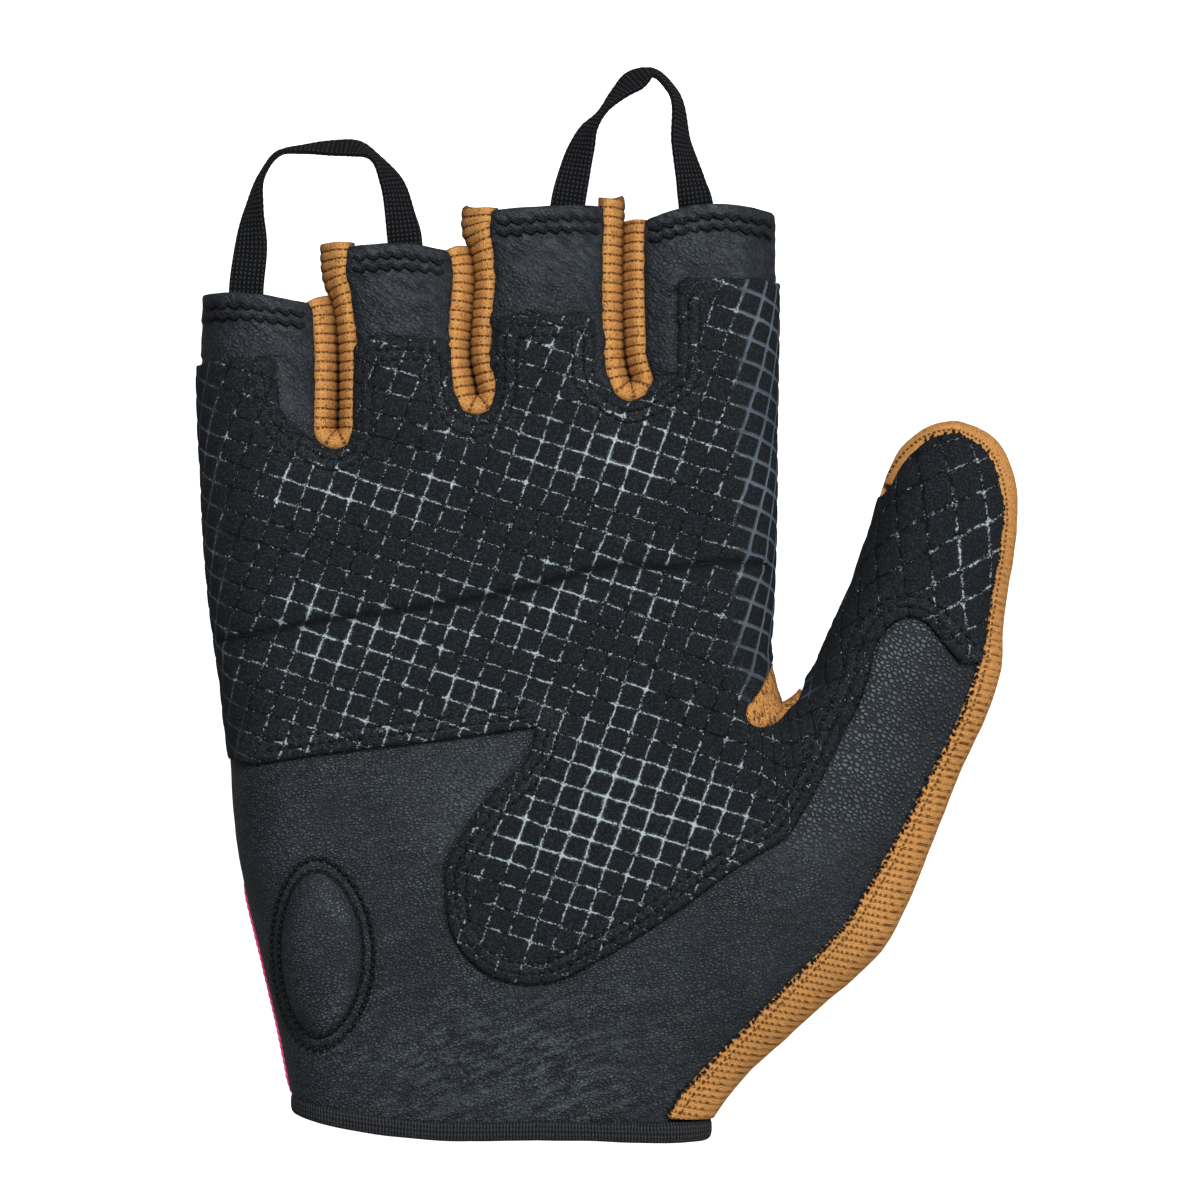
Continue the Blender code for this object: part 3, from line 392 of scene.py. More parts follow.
def crown(points):
    """Rise of the palm side above the seams, as the rounding's full height at each place."""
    along = np.interp(points[:, 1], hand_height(CROWN["up"]), np.array(CROWN["rise"]) * PALM_CROWN)
    start, end = np.array(CROWN_BLEND["across"]) * PALM_WIDTH + np.array(CROWN_BLEND["out"]) * THUMB_SPREAD
    blend = np.clip((points[:, 0] - start) / (end - start), 0, 1)
    blend *= points[:, 1] < HAND_LENGTH
    return along + (THUMB_CROWN - along) * blend * blend * (3 - 2 * blend)


def palm_side(points, seam=SEAM_HEIGHT + GAP / 2, depth=CREASE_DEPTH):
    """Height of the palm side's surface, as the solids have it."""
    crease = depth * np.exp(-((distance(points, CREASE) / CREASE_WIDTH) ** 2))
    top = SEAM_HEIGHT + crown(points) - crease
    return seam + (top - seam) * rounding(side_distance(points) / SIDE_ROUND)


def back_side(points, seam=SEAM_HEIGHT - GAP / 2):
    """Height of the back's surface, which is flat where the glove rests."""
    return seam * (1 - rounding(side_distance(points) / BACK_ROUND))


def surface(plan, lift):
    """Points of a height function over plan points, and its unit normals by central differences."""
    ways = ((SLOPE_STEP, 0.0), (0.0, SLOPE_STEP))
    slopes = [(lift(plan + way) - lift(plan - way)) / (2 * SLOPE_STEP) for way in ways]
    return np.column_stack([plan, lift(plan)]), unit(np.column_stack([-slopes[0], -slopes[1], np.ones(len(plan))]))


def noise(points, size, seed):
    """Smooth value noise from -1 to 1: random numbers on a square net, joined by cubic steps."""
    net = np.random.default_rng(seed).uniform(-1, 1, (128, 128))
    place = points[:, :2] / size + 40.5
    k = np.floor(place).astype(int)
    f = place - k
    f = f * f * (3 - 2 * f)
    i, j = (k % 127).T
    fx, fy = f.T
    return (net[i, j] * (1 - fx) + net[i + 1, j] * fx) * (1 - fy) + (
        net[i, j + 1] * (1 - fx) + net[i + 1, j + 1] * fx
    ) * fy


def noise_along(run, size, seed):
    return noise(np.column_stack([run, run * 0]), size, seed)


def bell(reach, width):
    return np.exp(-((reach / width) ** 2))


def spot(plan, across, up, reach, scale=(1.0, 1.0)):
    """A bell round one place on the hand, with the plan scaled across and along."""
    away = (plan - on_hand(dict(across=[across], up=[up]))) * scale
    return bell(np.linalg.norm(away, axis=1), reach)


def step_up(value, low, high):
    t = np.clip((value - low) / (high - low), 0, 1)
    return t * t * (3 - 2 * t)


def inside(points, outline):
    """Whether each plan point lies inside a closed outline, by counting crossings to its right."""
    a, b = outline, np.roll(outline, -1, axis=0)
    rise = np.where(b[:, 1] == a[:, 1], 1.0, b[:, 1] - a[:, 1])
    found = np.empty(len(points), bool)
    for part in chunks(len(points)):
        x, y = points[part, 0, None], points[part, 1, None]
        crossing = a[:, 0] + (y - a[:, 1]) * (b[:, 0] - a[:, 0]) / rise
        found[part] = (((a[:, 1] > y) != (b[:, 1] > y)) & (x < crossing)).sum(axis=1) % 2 == 1
    return found


def slot_border(line, reach, steps=16):
    """Half circle round a slot's foot at one reach from its middle line, and its directions."""
    left = left_normals(line)[0]
    down = -(line[1] - line[0]) / np.linalg.norm(line[1] - line[0])
    angles = np.linspace(0, math.pi, steps + 1)[:, None]
    ways = left * np.cos(angles) + down * np.sin(angles)
    return line[0] + ways * (reach + SLOT_GAP / 2), ways


def slot_stations(k, proud=(0.0, 0.0)):
    """Places on a slot's middle line and directions away from it: down the left side, round the foot and
    up the right, between the rims of the two fingers beside it, and past them by proud."""
    line = Sides.slots[k]
    rise = line[-1] - line[-2]
    longer = np.vstack([line, line[-1] + rise / np.linalg.norm(rise) * 0.01])
    rims = (RIMS["right"][k], RIMS["left"][k + 1])
    arms = [cut(longer, -math.inf, hand_height(rim) + extra) for rim, extra in zip(rims, proud)]
    _, ways = slot_border(line, 0.0)
    foot = np.repeat(line[:1], len(ways), axis=0)
    places = np.vstack([arms[0][:0:-1], foot, arms[1][1:]])
    turns = np.vstack([left_normals(arms[0])[:0:-1], ways, -left_normals(arms[1])[1:]])
    return places, turns


def flare(k, places, turns):
    """How much further a slot's knit reaches at each station."""
    share = step_up(places[:, 1], hand_height(FLARE["low"][k]), hand_height(FLARE["high"][k]))
    return FLARE["extra"][k] * share * (turns[:, 0] > 0.5)


def rim_line(k, first, last):
    """A finger sleeve's rim between its corners on the left and the right."""
    middle = (first + last) / 2
    middle[1] = hand_height(RIMS["middle"][k])
    return smooth(np.array([first, middle, last]))


def finger_border(reach):
    """The border over the four fingers, from the pinky side's rim to the index side's, and its rims."""
    border, rims = [], []
    corner = cut(Sides.pinky, -math.inf, hand_height(RIMS["left"][0]))[-1]
    for k in range(3):
        places, turns = slot_stations(k)
        slot = places + turns * (SLOT_GAP / 2 + reach + flare(k, places, turns))[:, None]
        rims.append(rim_line(k, corner, slot[0]))
        border += [rims[-1][1:-1], slot]
        corner = slot[-1]
    last = cut(Sides.index, -math.inf, hand_height(RIMS["right"][3]))[0]
    rims.append(rim_line(3, corner, last))
    border.append(rims[-1][1:-1])
    return np.vstack(border), rims


def band_start():
    """The top of the thumb's inner side, where the knit band begins."""
    return cut(Sides.thumb_inner, thumb_height(BAND_START), math.inf)


def seam_line(extra):
    """The inner edge of the knit band over the thumb's outer side, moved in by extra."""
    start = band_start()
    run = lengths_along(on_thumb(THUMB_OUTER))
    place = lengths_along(Sides.thumb_outer)
    outer = np.interp(place, run * place[-1] / run[-1], THUMB_OUTER["band"]) * SIDE_BAND
    inner = np.linspace(0, outer[0], len(start) + 1)[1:]
    side = np.vstack([start, Sides.thumb_outer[1:]])
    widths = np.r_[inner, outer[1:]] + extra
    line = side - left_normals(side) * widths[:, None]
    wrist = wrist_line(0.0)
    along = lengths_along(wrist)
    line[-1] = [np.interp(along[-1] - widths[-1], along, column) for column in wrist.T]
    return line


def wrist_line(drop):
    """The wrist's edge from the pinky side to the thumb's side, sagging between them."""
    along = np.array(WRIST["along"])[:, None]
    line = Sides.pinky[0] + along * (Sides.thumb_outer[-1] - Sides.pinky[0])
    line[:, 1] += np.array(WRIST["sag"]) * HAND_LENGTH - drop * np.sin(math.pi * along[:, 0]) ** 0.8
    return smooth(line)


def wrist_border(drop, corner):
    """The wrist's edge from a corner back to the pinky side, without both ends."""
    line = wrist_line(drop)
    margin = 0.4 * LINE_STEP
    return line[(line[:, 0] > line[0, 0] + margin) & (line[:, 0] < corner[0] - margin)][::-1]


def gusset_edge(extra):
    """The gusset's border on the palm and the back, widened by extra."""
    line = smooth(at_notch(GUSSET_EDGE), 0.0008)
    return line - left_normals(line) * extra


def leather_outline():
    """Plan outline of the leather: sides, rims, slots, gusset, the band's seam and the wrist."""
    seam = seam_line(GAP)
    inner = cut(Sides.thumb_inner, -math.inf, thumb_height(BAND_START))
    return np.vstack([
        Sides.pinky[:-1],
        cut(Sides.pinky, -math.inf, hand_height(RIMS["left"][0]))[-1:],
        finger_border(FOURCHETTE_REACH + GAP)[0],
        cut(Sides.index, NOTCH_TOPS[0], hand_height(RIMS["right"][3])),
        gusset_edge(GAP)[1:-1],
        cut(inner, NOTCH_TOPS[1], math.inf)[:-1],
        seam,
        wrist_border(0.0, seam[-1]),
    ])


def back_outline():
    """Plan outline of the flat back, which drops a little further at the wrist."""
    return np.vstack([
        Sides.pinky[:-1],
        cut(Sides.pinky, -math.inf, hand_height(RIMS["left"][0]))[-1:],
        finger_border(SLOT_GAP)[0],
        cut(Sides.index, NOTCH_TOPS[0], hand_height(RIMS["right"][3])),
        gusset_edge(GAP)[1:-1],
        cut(Sides.thumb_inner, NOTCH_TOPS[1], math.inf),
        Sides.thumb_outer[1:],
        wrist_border(BACK_DROP, Sides.thumb_outer[-1]),
    ])


def tongue_tops():
    """The grip's border over its four tongues, from the pinky side to the index side."""
    border = FOURCHETTE_REACH + SLOT_GAP / 2
    valley = border + VALLEY_DROP
    corner = TONGUE_CORNER
    top = []
    for k, height in enumerate(TONGUES["top"]):
        high = hand_height(height)
        turn = np.radians(np.linspace(0, 90, 5))[:, None]
        if TONGUES["left"][k] is not None:
            x = TONGUES["left"][k] * PALM_WIDTH
            foot = Sides.slots[k - 1][0]
            top += [foot + (0, -valley), (foot[0] + 0.8 * border, foot[1] - 0.75 * valley), (x, foot[1])]
            top += list((x + corner, high - corner) + corner * np.hstack([-np.cos(turn), np.sin(turn)]))
        if TONGUES["right"][k] is not None:
            x = TONGUES["right"][k] * PALM_WIDTH
            foot = Sides.slots[k][0]
            top += list((x - corner, high - corner) + corner * np.hstack([np.sin(turn), np.cos(turn)]))
            lean = VALLEY_LEAN[k] * (foot[0] - border - x)
            top += [(x + 0.3 * lean, foot[1] + 3 * MM), (x + lean, foot[1])]
            top.append((foot[0] - 0.8 * border, foot[1] - 0.75 * valley))
    return np.array(top)


def thumb_top():
    """The grip's border along the knit band's seam, over the thumb and down to its own lower edge."""
    seam = seam_line(GAP + BAND_LAP)
    low = on_thumb(GRIP_THUMB_EDGE)[0, 1]
    highest = np.argmax(seam[:, 1])
    return np.vstack([seam[:highest], cut(seam[highest:], low + GAP, math.inf)])


def grip_outline():
    """Plan outline of the grip overlay: four tongues, both sides, the thumb's arm and the bulb."""
    return np.vstack([
        cut(Sides.pinky, hand_height(GRIP_SIDE_LOW), hand_height(GRIP_SIDE_HIGH)),
        tongue_tops(),
        cut(Sides.index, NOTCH_TOPS[0], hand_height(TONGUES["top"][3])),
        gusset_edge(GAP)[1:-1],
        cut(Sides.thumb_inner, NOTCH_TOPS[1], thumb_height(BAND_START))[:-1],
        thumb_top(),
        smooth(on_thumb(GRIP_THUMB_EDGE)),
        smooth(on_hand(GRIP_BULB_EDGE)),
        smooth(on_hand(GRIP_LOWER_EDGE))[1:],
    ])


def rolled(reach, radius):
    """How much longer the surface is than its plan over a reach from a side: R acos(1 - d/R) - d."""
    t = np.clip(reach / radius, 0, 1)
    return radius * (np.arccos(1 - t) - t)


def at_height(line, y):
    """Where a line stands across at each height."""
    line = line[::-1] if line[0, 1] > line[-1, 1] else line
    return np.interp(y, line[:, 1], line[:, 0])


def notch_share(y):
    """1 above the notch between palm and thumb, easing to 0 over a rounding's reach below it."""
    return step_up(y, NOTCH[1] - SIDE_ROUND, NOTCH[1])


def row_ends(y):
    """Ends of the hand's and the thumb's stretch of each row: the sides, and a divider below the notch."""
    left, right = at_height(Sides.pinky, y), at_height(Sides.thumb_outer, y)
    low_left, low_right = at_height(Sides.pinky, NOTCH[1]), at_height(Sides.thumb_outer, NOTCH[1])
    share = (NOTCH[0] - low_left) / (low_right - low_left)
    divider = left + share * (right - left)
    above = y >= NOTCH[1]
    hand_right = np.where(above, at_height(Sides.index, y), divider)
    thumb_left = np.where(above, at_height(Sides.thumb_inner, y), divider)
    return left, hand_right, thumb_left, right


def columns(first, last, roll_first, roll_last, count, radius):
    """Places in each row between its ends, at even lengths over the rounded surface."""
    share = (1 - np.cos(np.linspace(0, math.pi, 900))) / 2
    rows = []
    for a, b, c, d in zip(first, last, roll_first, roll_last):
        x = a + share * (b - a)
        run = (x - a) + c * rolled(x - a, radius) - d * rolled(b - x, radius)
        rows.append(np.interp(np.linspace(run[0], run[-1], count + 1), run, x))
    return np.array(rows)


def glove_net(step, radius, round_out=0.0):
    """A net of plan points and quads over the whole glove. Its rows run across; its columns follow the
    sides, closer together where the surface turns down. Hand and thumb part at the notch."""
    low, high, tip = wrist_line(BACK_DROP)[:, 1].min() - step, Sides.slots[1][-1, 1] + step, THUMB_SIDE[:, 1].max()
    below = np.linspace(low, NOTCH[1], max(2, round((NOTCH[1] - low) / step)))
    above = np.arange(NOTCH[1], high, step)[1:]
    y = np.r_[below, above]
    left, hand_right, thumb_left, right = row_ends(y)
    wide = round((PALM_WIDTH + 2 * rolled(radius, radius)) / step)
    share = notch_share(y)
    hand = columns(left, hand_right, np.ones(len(y)), share, wide, radius)
    on_thumb_rows = y < tip - 0.2 * step
    narrow = round((THUMB_SPREAD + 2 * rolled(radius, radius)) / step)
    thumb = columns(
        thumb_left[on_thumb_rows], right[on_thumb_rows], share[on_thumb_rows],
        np.full(on_thumb_rows.sum(), round_out), narrow, radius,
    )
    points = [np.column_stack([hand.ravel(), np.repeat(y, hand.shape[1])])]
    points.append(np.column_stack([thumb.ravel(), np.repeat(y[on_thumb_rows], thumb.shape[1])]))
    hand_at = np.arange(hand.size).reshape(hand.shape)
    thumb_at = np.arange(thumb.size).reshape(thumb.shape) + hand.size
    thumb_at[: len(below), 0] = hand_at[: len(below), -1]
    quads = [
        np.stack([k[:-1, :-1], k[:-1, 1:], k[1:, 1:], k[1:, :-1]], axis=-1).reshape(-1, 4)
        for k in (hand_at, thumb_at)
    ]
    return np.vstack(points), np.vstack(quads)


def border_edges(quads):
    """Directed edges that only one face has, in the faces' own order."""
    ends = np.stack([quads, np.roll(quads, -1, axis=1)], axis=-1).reshape(-1, 2)
    keys = np.sort(ends, axis=1)
    _, place, count = np.unique(keys, axis=0, return_inverse=True, return_counts=True)
    return ends[count[place.reshape(-1)] == 1]


def trim(points, quads, outline):
    """The net's quads whose middles lie inside an outline, with their border moved onto it."""
    centres = points[quads].mean(axis=1)
    quads = quads[inside(centres, outline)]
    used, quads = np.unique(quads, return_inverse=True)
    points, quads = points[used], quads.reshape(-1, 4)
    border = np.unique(border_edges(quads))
    _, places, _ = nearest(points[border], np.vstack([outline, outline[:1]]))
    points[border] = places
    return points, quads


def closed_sheet(points, normals, quads, low, high):
    """A closed wall between two offsets of a net of quads along its normals, with a rounded edge. The offsets
    are numbers, or one number for each point."""
    low, high = (np.broadcast_to(lift, len(points))[:, None] for lift in (low, high))
    thick = high - low
    ends = border_edges(quads)
    rim, place = np.unique(ends, return_inverse=True)
    place = place.reshape(-1, 2)
    way = np.cross(points[ends[:, 1]] - points[ends[:, 0]], normals[ends[:, 0]])
    out = np.zeros((len(rim), 3))
    np.add.at(out, place[:, 0], way)
    np.add.at(out, place[:, 1], way)
    out /= np.linalg.norm(out, axis=1)[:, None] + 1e-12
    count = len(points)
    top, bottom = points + normals * high, points + normals * low
    edge = thick[rim]
    soft = points[rim] + normals[rim] * (high[rim] - 0.22 * edge) + out * 0.8 * EDGE_BULGE * edge
    mid = points[rim] + normals[rim] * (low[rim] + edge / 2) + out * EDGE_BULGE * edge
    allp = np.vstack([top, soft, mid, bottom])
    soft_at, mid_at = place + count, place + count + len(rim)
    low_at = ends + count + 2 * len(rim)
    bands = [(ends, soft_at), (soft_at, mid_at), (mid_at, low_at)]
    faces = [quads] + [np.column_stack([a[:, 1], a[:, 0], b[:, 0], b[:, 1]]) for a, b in bands]
    faces.append(quads[:, ::-1] + count + 2 * len(rim))
    origin = np.r_[np.arange(count), rim, rim, np.arange(count)]
    return allp, np.vstack(faces), origin


def make_piece(name, points, faces, finish, covers=(), slot=None, uv=None, values=None):
    """Puts arrays of plan-based points and faces into the scene as one piece of the glove."""
    mesh = bpy.data.meshes.new(name)
    points = np.asarray(points, float) + (*SHIFT, 0.0)
    faces = np.asarray(faces)
    mesh.vertices.add(len(points))
    mesh.vertices.foreach_set("co", points.astype(np.float32).ravel())
    wide = faces.shape[1]
    mesh.loops.add(faces.size)
    mesh.loops.foreach_set("vertex_index", faces.astype(np.int32).ravel())
    mesh.polygons.add(len(faces))
    mesh.polygons.foreach_set("loop_start", np.arange(0, faces.size, wide, dtype=np.int32))
    mesh.update(calc_edges=True)
    if uv is not None:
        layer = mesh.uv_layers.new(name="pattern")
        layer.uv.foreach_set("vector", np.asarray(uv, np.float32)[faces.ravel()].ravel())
    for label, column in (values or {}).items():
        attribute = mesh.attributes.new(label, "FLOAT", "POINT")
        attribute.data.foreach_set("value", np.asarray(column, np.float32))
    mesh.validate()
    mesh.shade_smooth()
    mesh.materials.append(finish)
    piece = bpy.data.objects.new(name, mesh)
    bpy.context.scene.collection.objects.link(piece)
    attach(piece, "root")
    if covers:
        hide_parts(*covers)
    return piece


def strip_faces(rows, wide, closed_rows=False, closed_columns=False):
    """Quads of a net of rows and columns, joined end to start where it is closed."""
    k = np.arange(rows * wide).reshape(rows, wide)
    if closed_rows:
        k = np.vstack([k, k[:1]])
    if closed_columns:
        k = np.hstack([k, k[:, :1]])
    return np.stack([k[:-1, :-1], k[:-1, 1:], k[1:, 1:], k[1:, :-1]], axis=-1).reshape(-1, 4)


def cap(sides):
    """Quads that close a ring with an even number of points."""
    k = np.arange(sides // 2 - 1)
    return np.column_stack([k, k + 1, sides - 2 - k, sides - 1 - k])


def tube_faces(rows, wide):
    """Quads of a closed tube: its net of rows, joined round, and a cap at each end."""
    ends = cap(wide)
    return np.vstack([strip_faces(rows, wide, closed_columns=True), ends[:, ::-1], ends + (rows - 1) * wide])


def round_angles(count):
    """Evenly spaced angles once round, without the first again at the end."""
    return np.linspace(0, 2 * math.pi, count + 1)[:-1]


def frames_along(path):
    """Unit directions along a path of 3-D points."""
    return unit(np.gradient(path, axis=0))


def stitches(centres, ways, ups, length, width, slants=(0.0, 0.0), sides=6, rings=4):
    """Many thread stitches as one mesh: each is a long round body, bent down at its ends, laid on a surface
    along its way and turned by two slants: one for all, and one to and fro."""
    turn = np.radians(slants[0] + slants[1] * np.where(np.arange(len(centres)) % 2, 1, -1)[:, None])
    across = np.cross(ups, ways)
    ways, across = ways * np.cos(turn) + across * np.sin(turn), across * np.cos(turn) - ways * np.sin(turn)
    t = np.linspace(-1, 1, rings + 1)
    girth = np.sqrt(np.clip(1 - np.abs(t) ** 3, 0.03, 1))
    angle = round_angles(sides)
    along = np.repeat(t, sides) * length / 2
    side = (girth[:, None] * np.cos(angle)).ravel() * width / 2
    up = (girth[:, None] * np.sin(angle)).ravel() * width / 2 - np.repeat(t**2, sides) * 0.45 * width
    points = (
        centres[:, None]
        + ways[:, None] * along[:, None]
        + across[:, None] * side[:, None]
        + ups[:, None] * up[:, None]
    )
    size = (rings + 1) * sides
    starts = (np.arange(len(centres)) * size)[:, None, None]
    faces = (tube_faces(rings + 1, sides)[None] + starts).reshape(-1, 4)
    return points.reshape(-1, 3), faces[:, ::-1]


def zigzag(line, period, swing, lift):
    """Path and normals of a thread that crosses a plan line to and fro, in long strokes and short returns."""
    row = spaced(line, 0.16 * MM * COARSE)
    share = lengths_along(row) / period % 1
    wave = np.where(share < 0.7, 1 - share / 0.35, (share - 0.85) / 0.15)
    points, normals = surface(row + left_normals(row) * wave[:, None] * swing, palm_side)
    return points + normals * (lift - 0.12 * MM * np.abs(wave[:, None]) ** 3), normals


def threads(paths, width, sides=6):
    """Round threads along several paths with normals, as one mesh."""
    angle = round_angles(sides)
    points, faces, count = [], [], 0
    for path, ups in paths:
        side = np.cross(ups, frames_along(path))
        ring = side[:, None] * np.cos(angle)[:, None] + ups[:, None] * np.sin(angle)[:, None]
        points.append((path[:, None] + ring * width / 2).reshape(-1, 3))
        faces.append(tube_faces(len(path), sides)[:, ::-1] + count)
        count += len(points[-1])
    return np.vstack(points), np.vstack(faces)


def laid(ways, normals):
    """Plan directions turned to lie on a surface with these normals."""
    ways = np.column_stack([ways, np.zeros(len(ways))])
    ways -= normals * (ways * normals).sum(1)[:, None]
    return unit(ways)


def stitch_row(line, length, lift):
    """Centres, ways and surface normals of the stitches along a plan line."""
    row = spaced(line, length)
    points, normals = surface((row[:-1] + row[1:]) / 2, palm_side)
    return points + normals * lift, laid(row[1:] - row[:-1], normals), normals


def inset(line, reach, step):
    """A line moved to its right by a reach, without the loops that this makes in tight corners."""
    line = spaced(line, INSET_STEP)
    moved = line - left_normals(line) * reach
    kept = moved[distance(moved, line) > INSET_KEPT * reach]
    return smooth(spaced(kept, LINE_STEP), step)


class Value:
    """A number's socket in a material. Python operators on it add Math nodes."""

    def __init__(self, finish, socket):
        self.finish, self.socket = finish, socket

    def math(self, operation, *others):
        return self.finish.math(operation, self, *others)

    def __add__(self, other):
        return self.math("ADD", other)

    def __sub__(self, other):
        return self.math("SUBTRACT", other)

    def __rsub__(self, other):
        return self.finish.math("SUBTRACT", other, self)

    def __mul__(self, other):
        return self.math("MULTIPLY", other)

    def __pow__(self, other):
        return self.math("POWER", other)

    def __abs__(self):
        return self.math("ABSOLUTE")

    __radd__, __rmul__ = __add__, __mul__

    def fraction(self):
        return self.math("FRACT")

    def lower(self, other):
        return self.math("MINIMUM", other)

    def higher(self, other):
        return self.math("MAXIMUM", other)

    def sine(self):
        return self.math("SINE")

    def ease(self, low, high):
        """0 up to low, 1 from high on, and a smooth step between."""
        settings = {"interpolation_type": "SMOOTHSTEP"}
        return self.finish.node("ShaderNodeMapRange", settings, {"Value": self, "From Min": low, "From Max": high})

    def to_line(self):
        """Distance to the nearest whole number, from 0 to 0.5."""
        return 0.5 - abs(self.fraction() - 0.5)


class Finish:
    """A material under construction, around one Principled shader."""

    def __init__(self, name):
        self.material = bpy.data.materials.new("glove_" + name)
        self.material.use_nodes = True
        self.tree = self.material.node_tree
        self.shader = self.tree.nodes["Principled BSDF"]
        self.place = self.node("ShaderNodeTexCoord", output="Object")

    def node(self, kind, settings=None, inputs=None, output=0):
        """Adds a node of a type with its settings, then the values or links of its sockets."""
        made = self.tree.nodes.new(kind)
        for name, value in (settings or {}).items():
            setattr(made, name, value)
        for name, value in (inputs or {}).items():
            self.feed(made.inputs[name], value)
        return Value(self, made.outputs[output])

    def feed(self, socket, value):
        if isinstance(value, Value):
            self.tree.links.new(value.socket, socket)
        else:
            socket.default_value = value

    def math(self, operation, *values):
        return self.node("ShaderNodeMath", {"operation": operation}, dict(enumerate(values)))

    def number(self, label):
        """A piece's own number at each point."""
        return self.node("ShaderNodeAttribute", {"attribute_name": label}, output="Fac")

    def pattern(self):
        """The two coordinates that follow a piece's surface."""
        where = self.node("ShaderNodeUVMap", {"uv_map": "pattern"})
        parts = self.node("ShaderNodeSeparateXYZ", inputs={0: where})
        return parts, Value(self, parts.socket.node.outputs[1])

    def stretched(self, x, y, z, turn=0.0, place=None):
        """The object's coordinates turned about Z, then scaled along each axis."""
        inputs = {"Vector": place or self.place, "Rotation": (0.0, 0.0, turn), "Scale": (1 / x, 1 / y, 1 / z)}
        return self.node("ShaderNodeMapping", {"vector_type": "TEXTURE"}, inputs)

    def noise(self, size, detail=2.0, rough=0.5, place=None):
        inputs = {"Vector": place or self.place, "Scale": 1 / size, "Detail": detail, "Roughness": rough}
        return self.node("ShaderNodeTexNoise", inputs=inputs)

    def grains(self, size, place, loose, dome):
        """1 on the tops of leather's grains and 0 in the cracks between them, with each grain rounded off
        by a share of its dome."""
        crack = self.cells(size, "DISTANCE_TO_EDGE", place, loose).ease(0.0, 0.24)
        return crack * (1 - self.cells(size, "F1", place, loose).ease(0.22, 0.8) * dome)

    def cells(self, size, feature, place, loose):
        inputs = {"Vector": place, "Scale": 1 / size, "Randomness": loose}
        return self.node("ShaderNodeTexVoronoi", {"feature": feature}, inputs, output="Distance")

    def colour(self, factor, first, second):
        """A colour that goes from the first to the second with a factor."""
        mix = {0: factor}
        for socket, shade in ((6, first), (7, second)):
            mix[socket] = shade if isinstance(shade, Value) else (*shade, 1.0)
        return self.node("ShaderNodeMix", {"data_type": "RGBA"}, mix, output=2)

    def relief(self, height, depth, below=None):
        """A normal from a height of 0 to 1 that stands for a depth in metres."""
        inputs = {"Height": height, "Distance": depth, "Strength": 1.0}
        if below is not None:
            inputs["Normal"] = below
        return self.node("ShaderNodeBump", inputs=inputs)

    def done(self, colour, roughness, normal=None, **constants):
        self.feed(self.shader.inputs["Base Color"], colour if isinstance(colour, Value) else (*colour, 1.0))
        self.feed(self.shader.inputs["Roughness"], roughness)
        if normal is not None:
            self.feed(self.shader.inputs["Normal"], normal)
        for name, value in constants.items():
            self.shader.inputs[name.replace("_", " ").title().replace("Ior", "IOR")].default_value = value
        return self.material


def shade(colour, factor):
    return tuple(channel * factor for channel in colour)


def leather_finish(look):
    """Dark leather: grains with lighter tops, lightened by wear and by painted sheen, drawn out one way on the hand
    and another way on the fingers, larger scales where it is coarse, and a painted shadow line where another layer is
    sewn on."""
    f = Finish("leather")
    coarse, lit, wrinkle, sewn, finger = (f.number(n) for n in ("coarse", "lit", "wrinkle", "sewn", "finger"))
    drift = Value(f, f.noise(3 * MM).socket.node.outputs["Color"])
    inputs = {0: drift, 1: (0.8 * MM,) * 3, 2: f.place}
    bent = f.node("ShaderNodeVectorMath", {"operation": "MULTIPLY_ADD"}, inputs)
    grain, streak = 0.0, 0.0
    for way, long, share in ((0.38, 0.62, 1 - finger), (-0.62, 0.42, finger)):
        grain = f.grains(look.fine_grain, f.stretched(long, 1.06, 1.0, way, bent), 1.0, 0.7) * share + grain
        streak = (f.noise(1.3 * MM, 3.0, 0.6, f.stretched(0.35, 1.1, 1.0, way, bent)) - 0.5) * 3 * share + streak
    scale = f.grains(look.coarse_grain, f.stretched(0.8, 1.1, 1.0, -0.5, bent), 0.9, 0.92)
    pores = (f.noise(0.5 * MM, 2.0, 0.7) - 0.5) * 3
    broad = f.noise(5 * MM, 3.0, 0.6).ease(0.36, 0.64)
    fine = (1 - coarse) * (0.8 - finger * 0.42)
    height = grain * fine + scale * coarse + streak * (0.22 + wrinkle * 1.1 + finger * 0.5) + pores * 0.16
    even = grain + (0.62 - grain) * (0.34 - broad * 0.3 + finger * 0.3)
    fine_top = (even + pores * 0.46 + streak * (finger * 0.95 + wrinkle * 1.3 + 0.3) - 0.18).ease(-0.2, 1.0)
    top = fine_top * (1 - coarse) + (scale * 1.35 + pores * 0.25 - 0.12).ease(-0.05, 0.95) * coarse
    patch = f.noise(16 * MM, 2.0).ease(0.3, 0.7)
    base = f.colour(patch, shade(look.colour, 0.8), shade(look.colour, 1.15))
    # Wear and painted sheen: the grain tops lighten towards the worn colour as far as the lit number says.
    sheened_and_worn = f.colour(top * lit * (broad * 0.35 + 0.65), base, look.speck)
    # Painted shadow: near black where the sewn number is high, along the overlay's edges, the stitch rows and the
    # heel pad's border.
    tone = f.colour(sewn * 0.92, sheened_and_worn, shade(look.colour, 0.1))
    return f.done(tone, 0.55 - top * 0.08, f.relief(height, look.grain_depth), specular_ior_level=0.17)


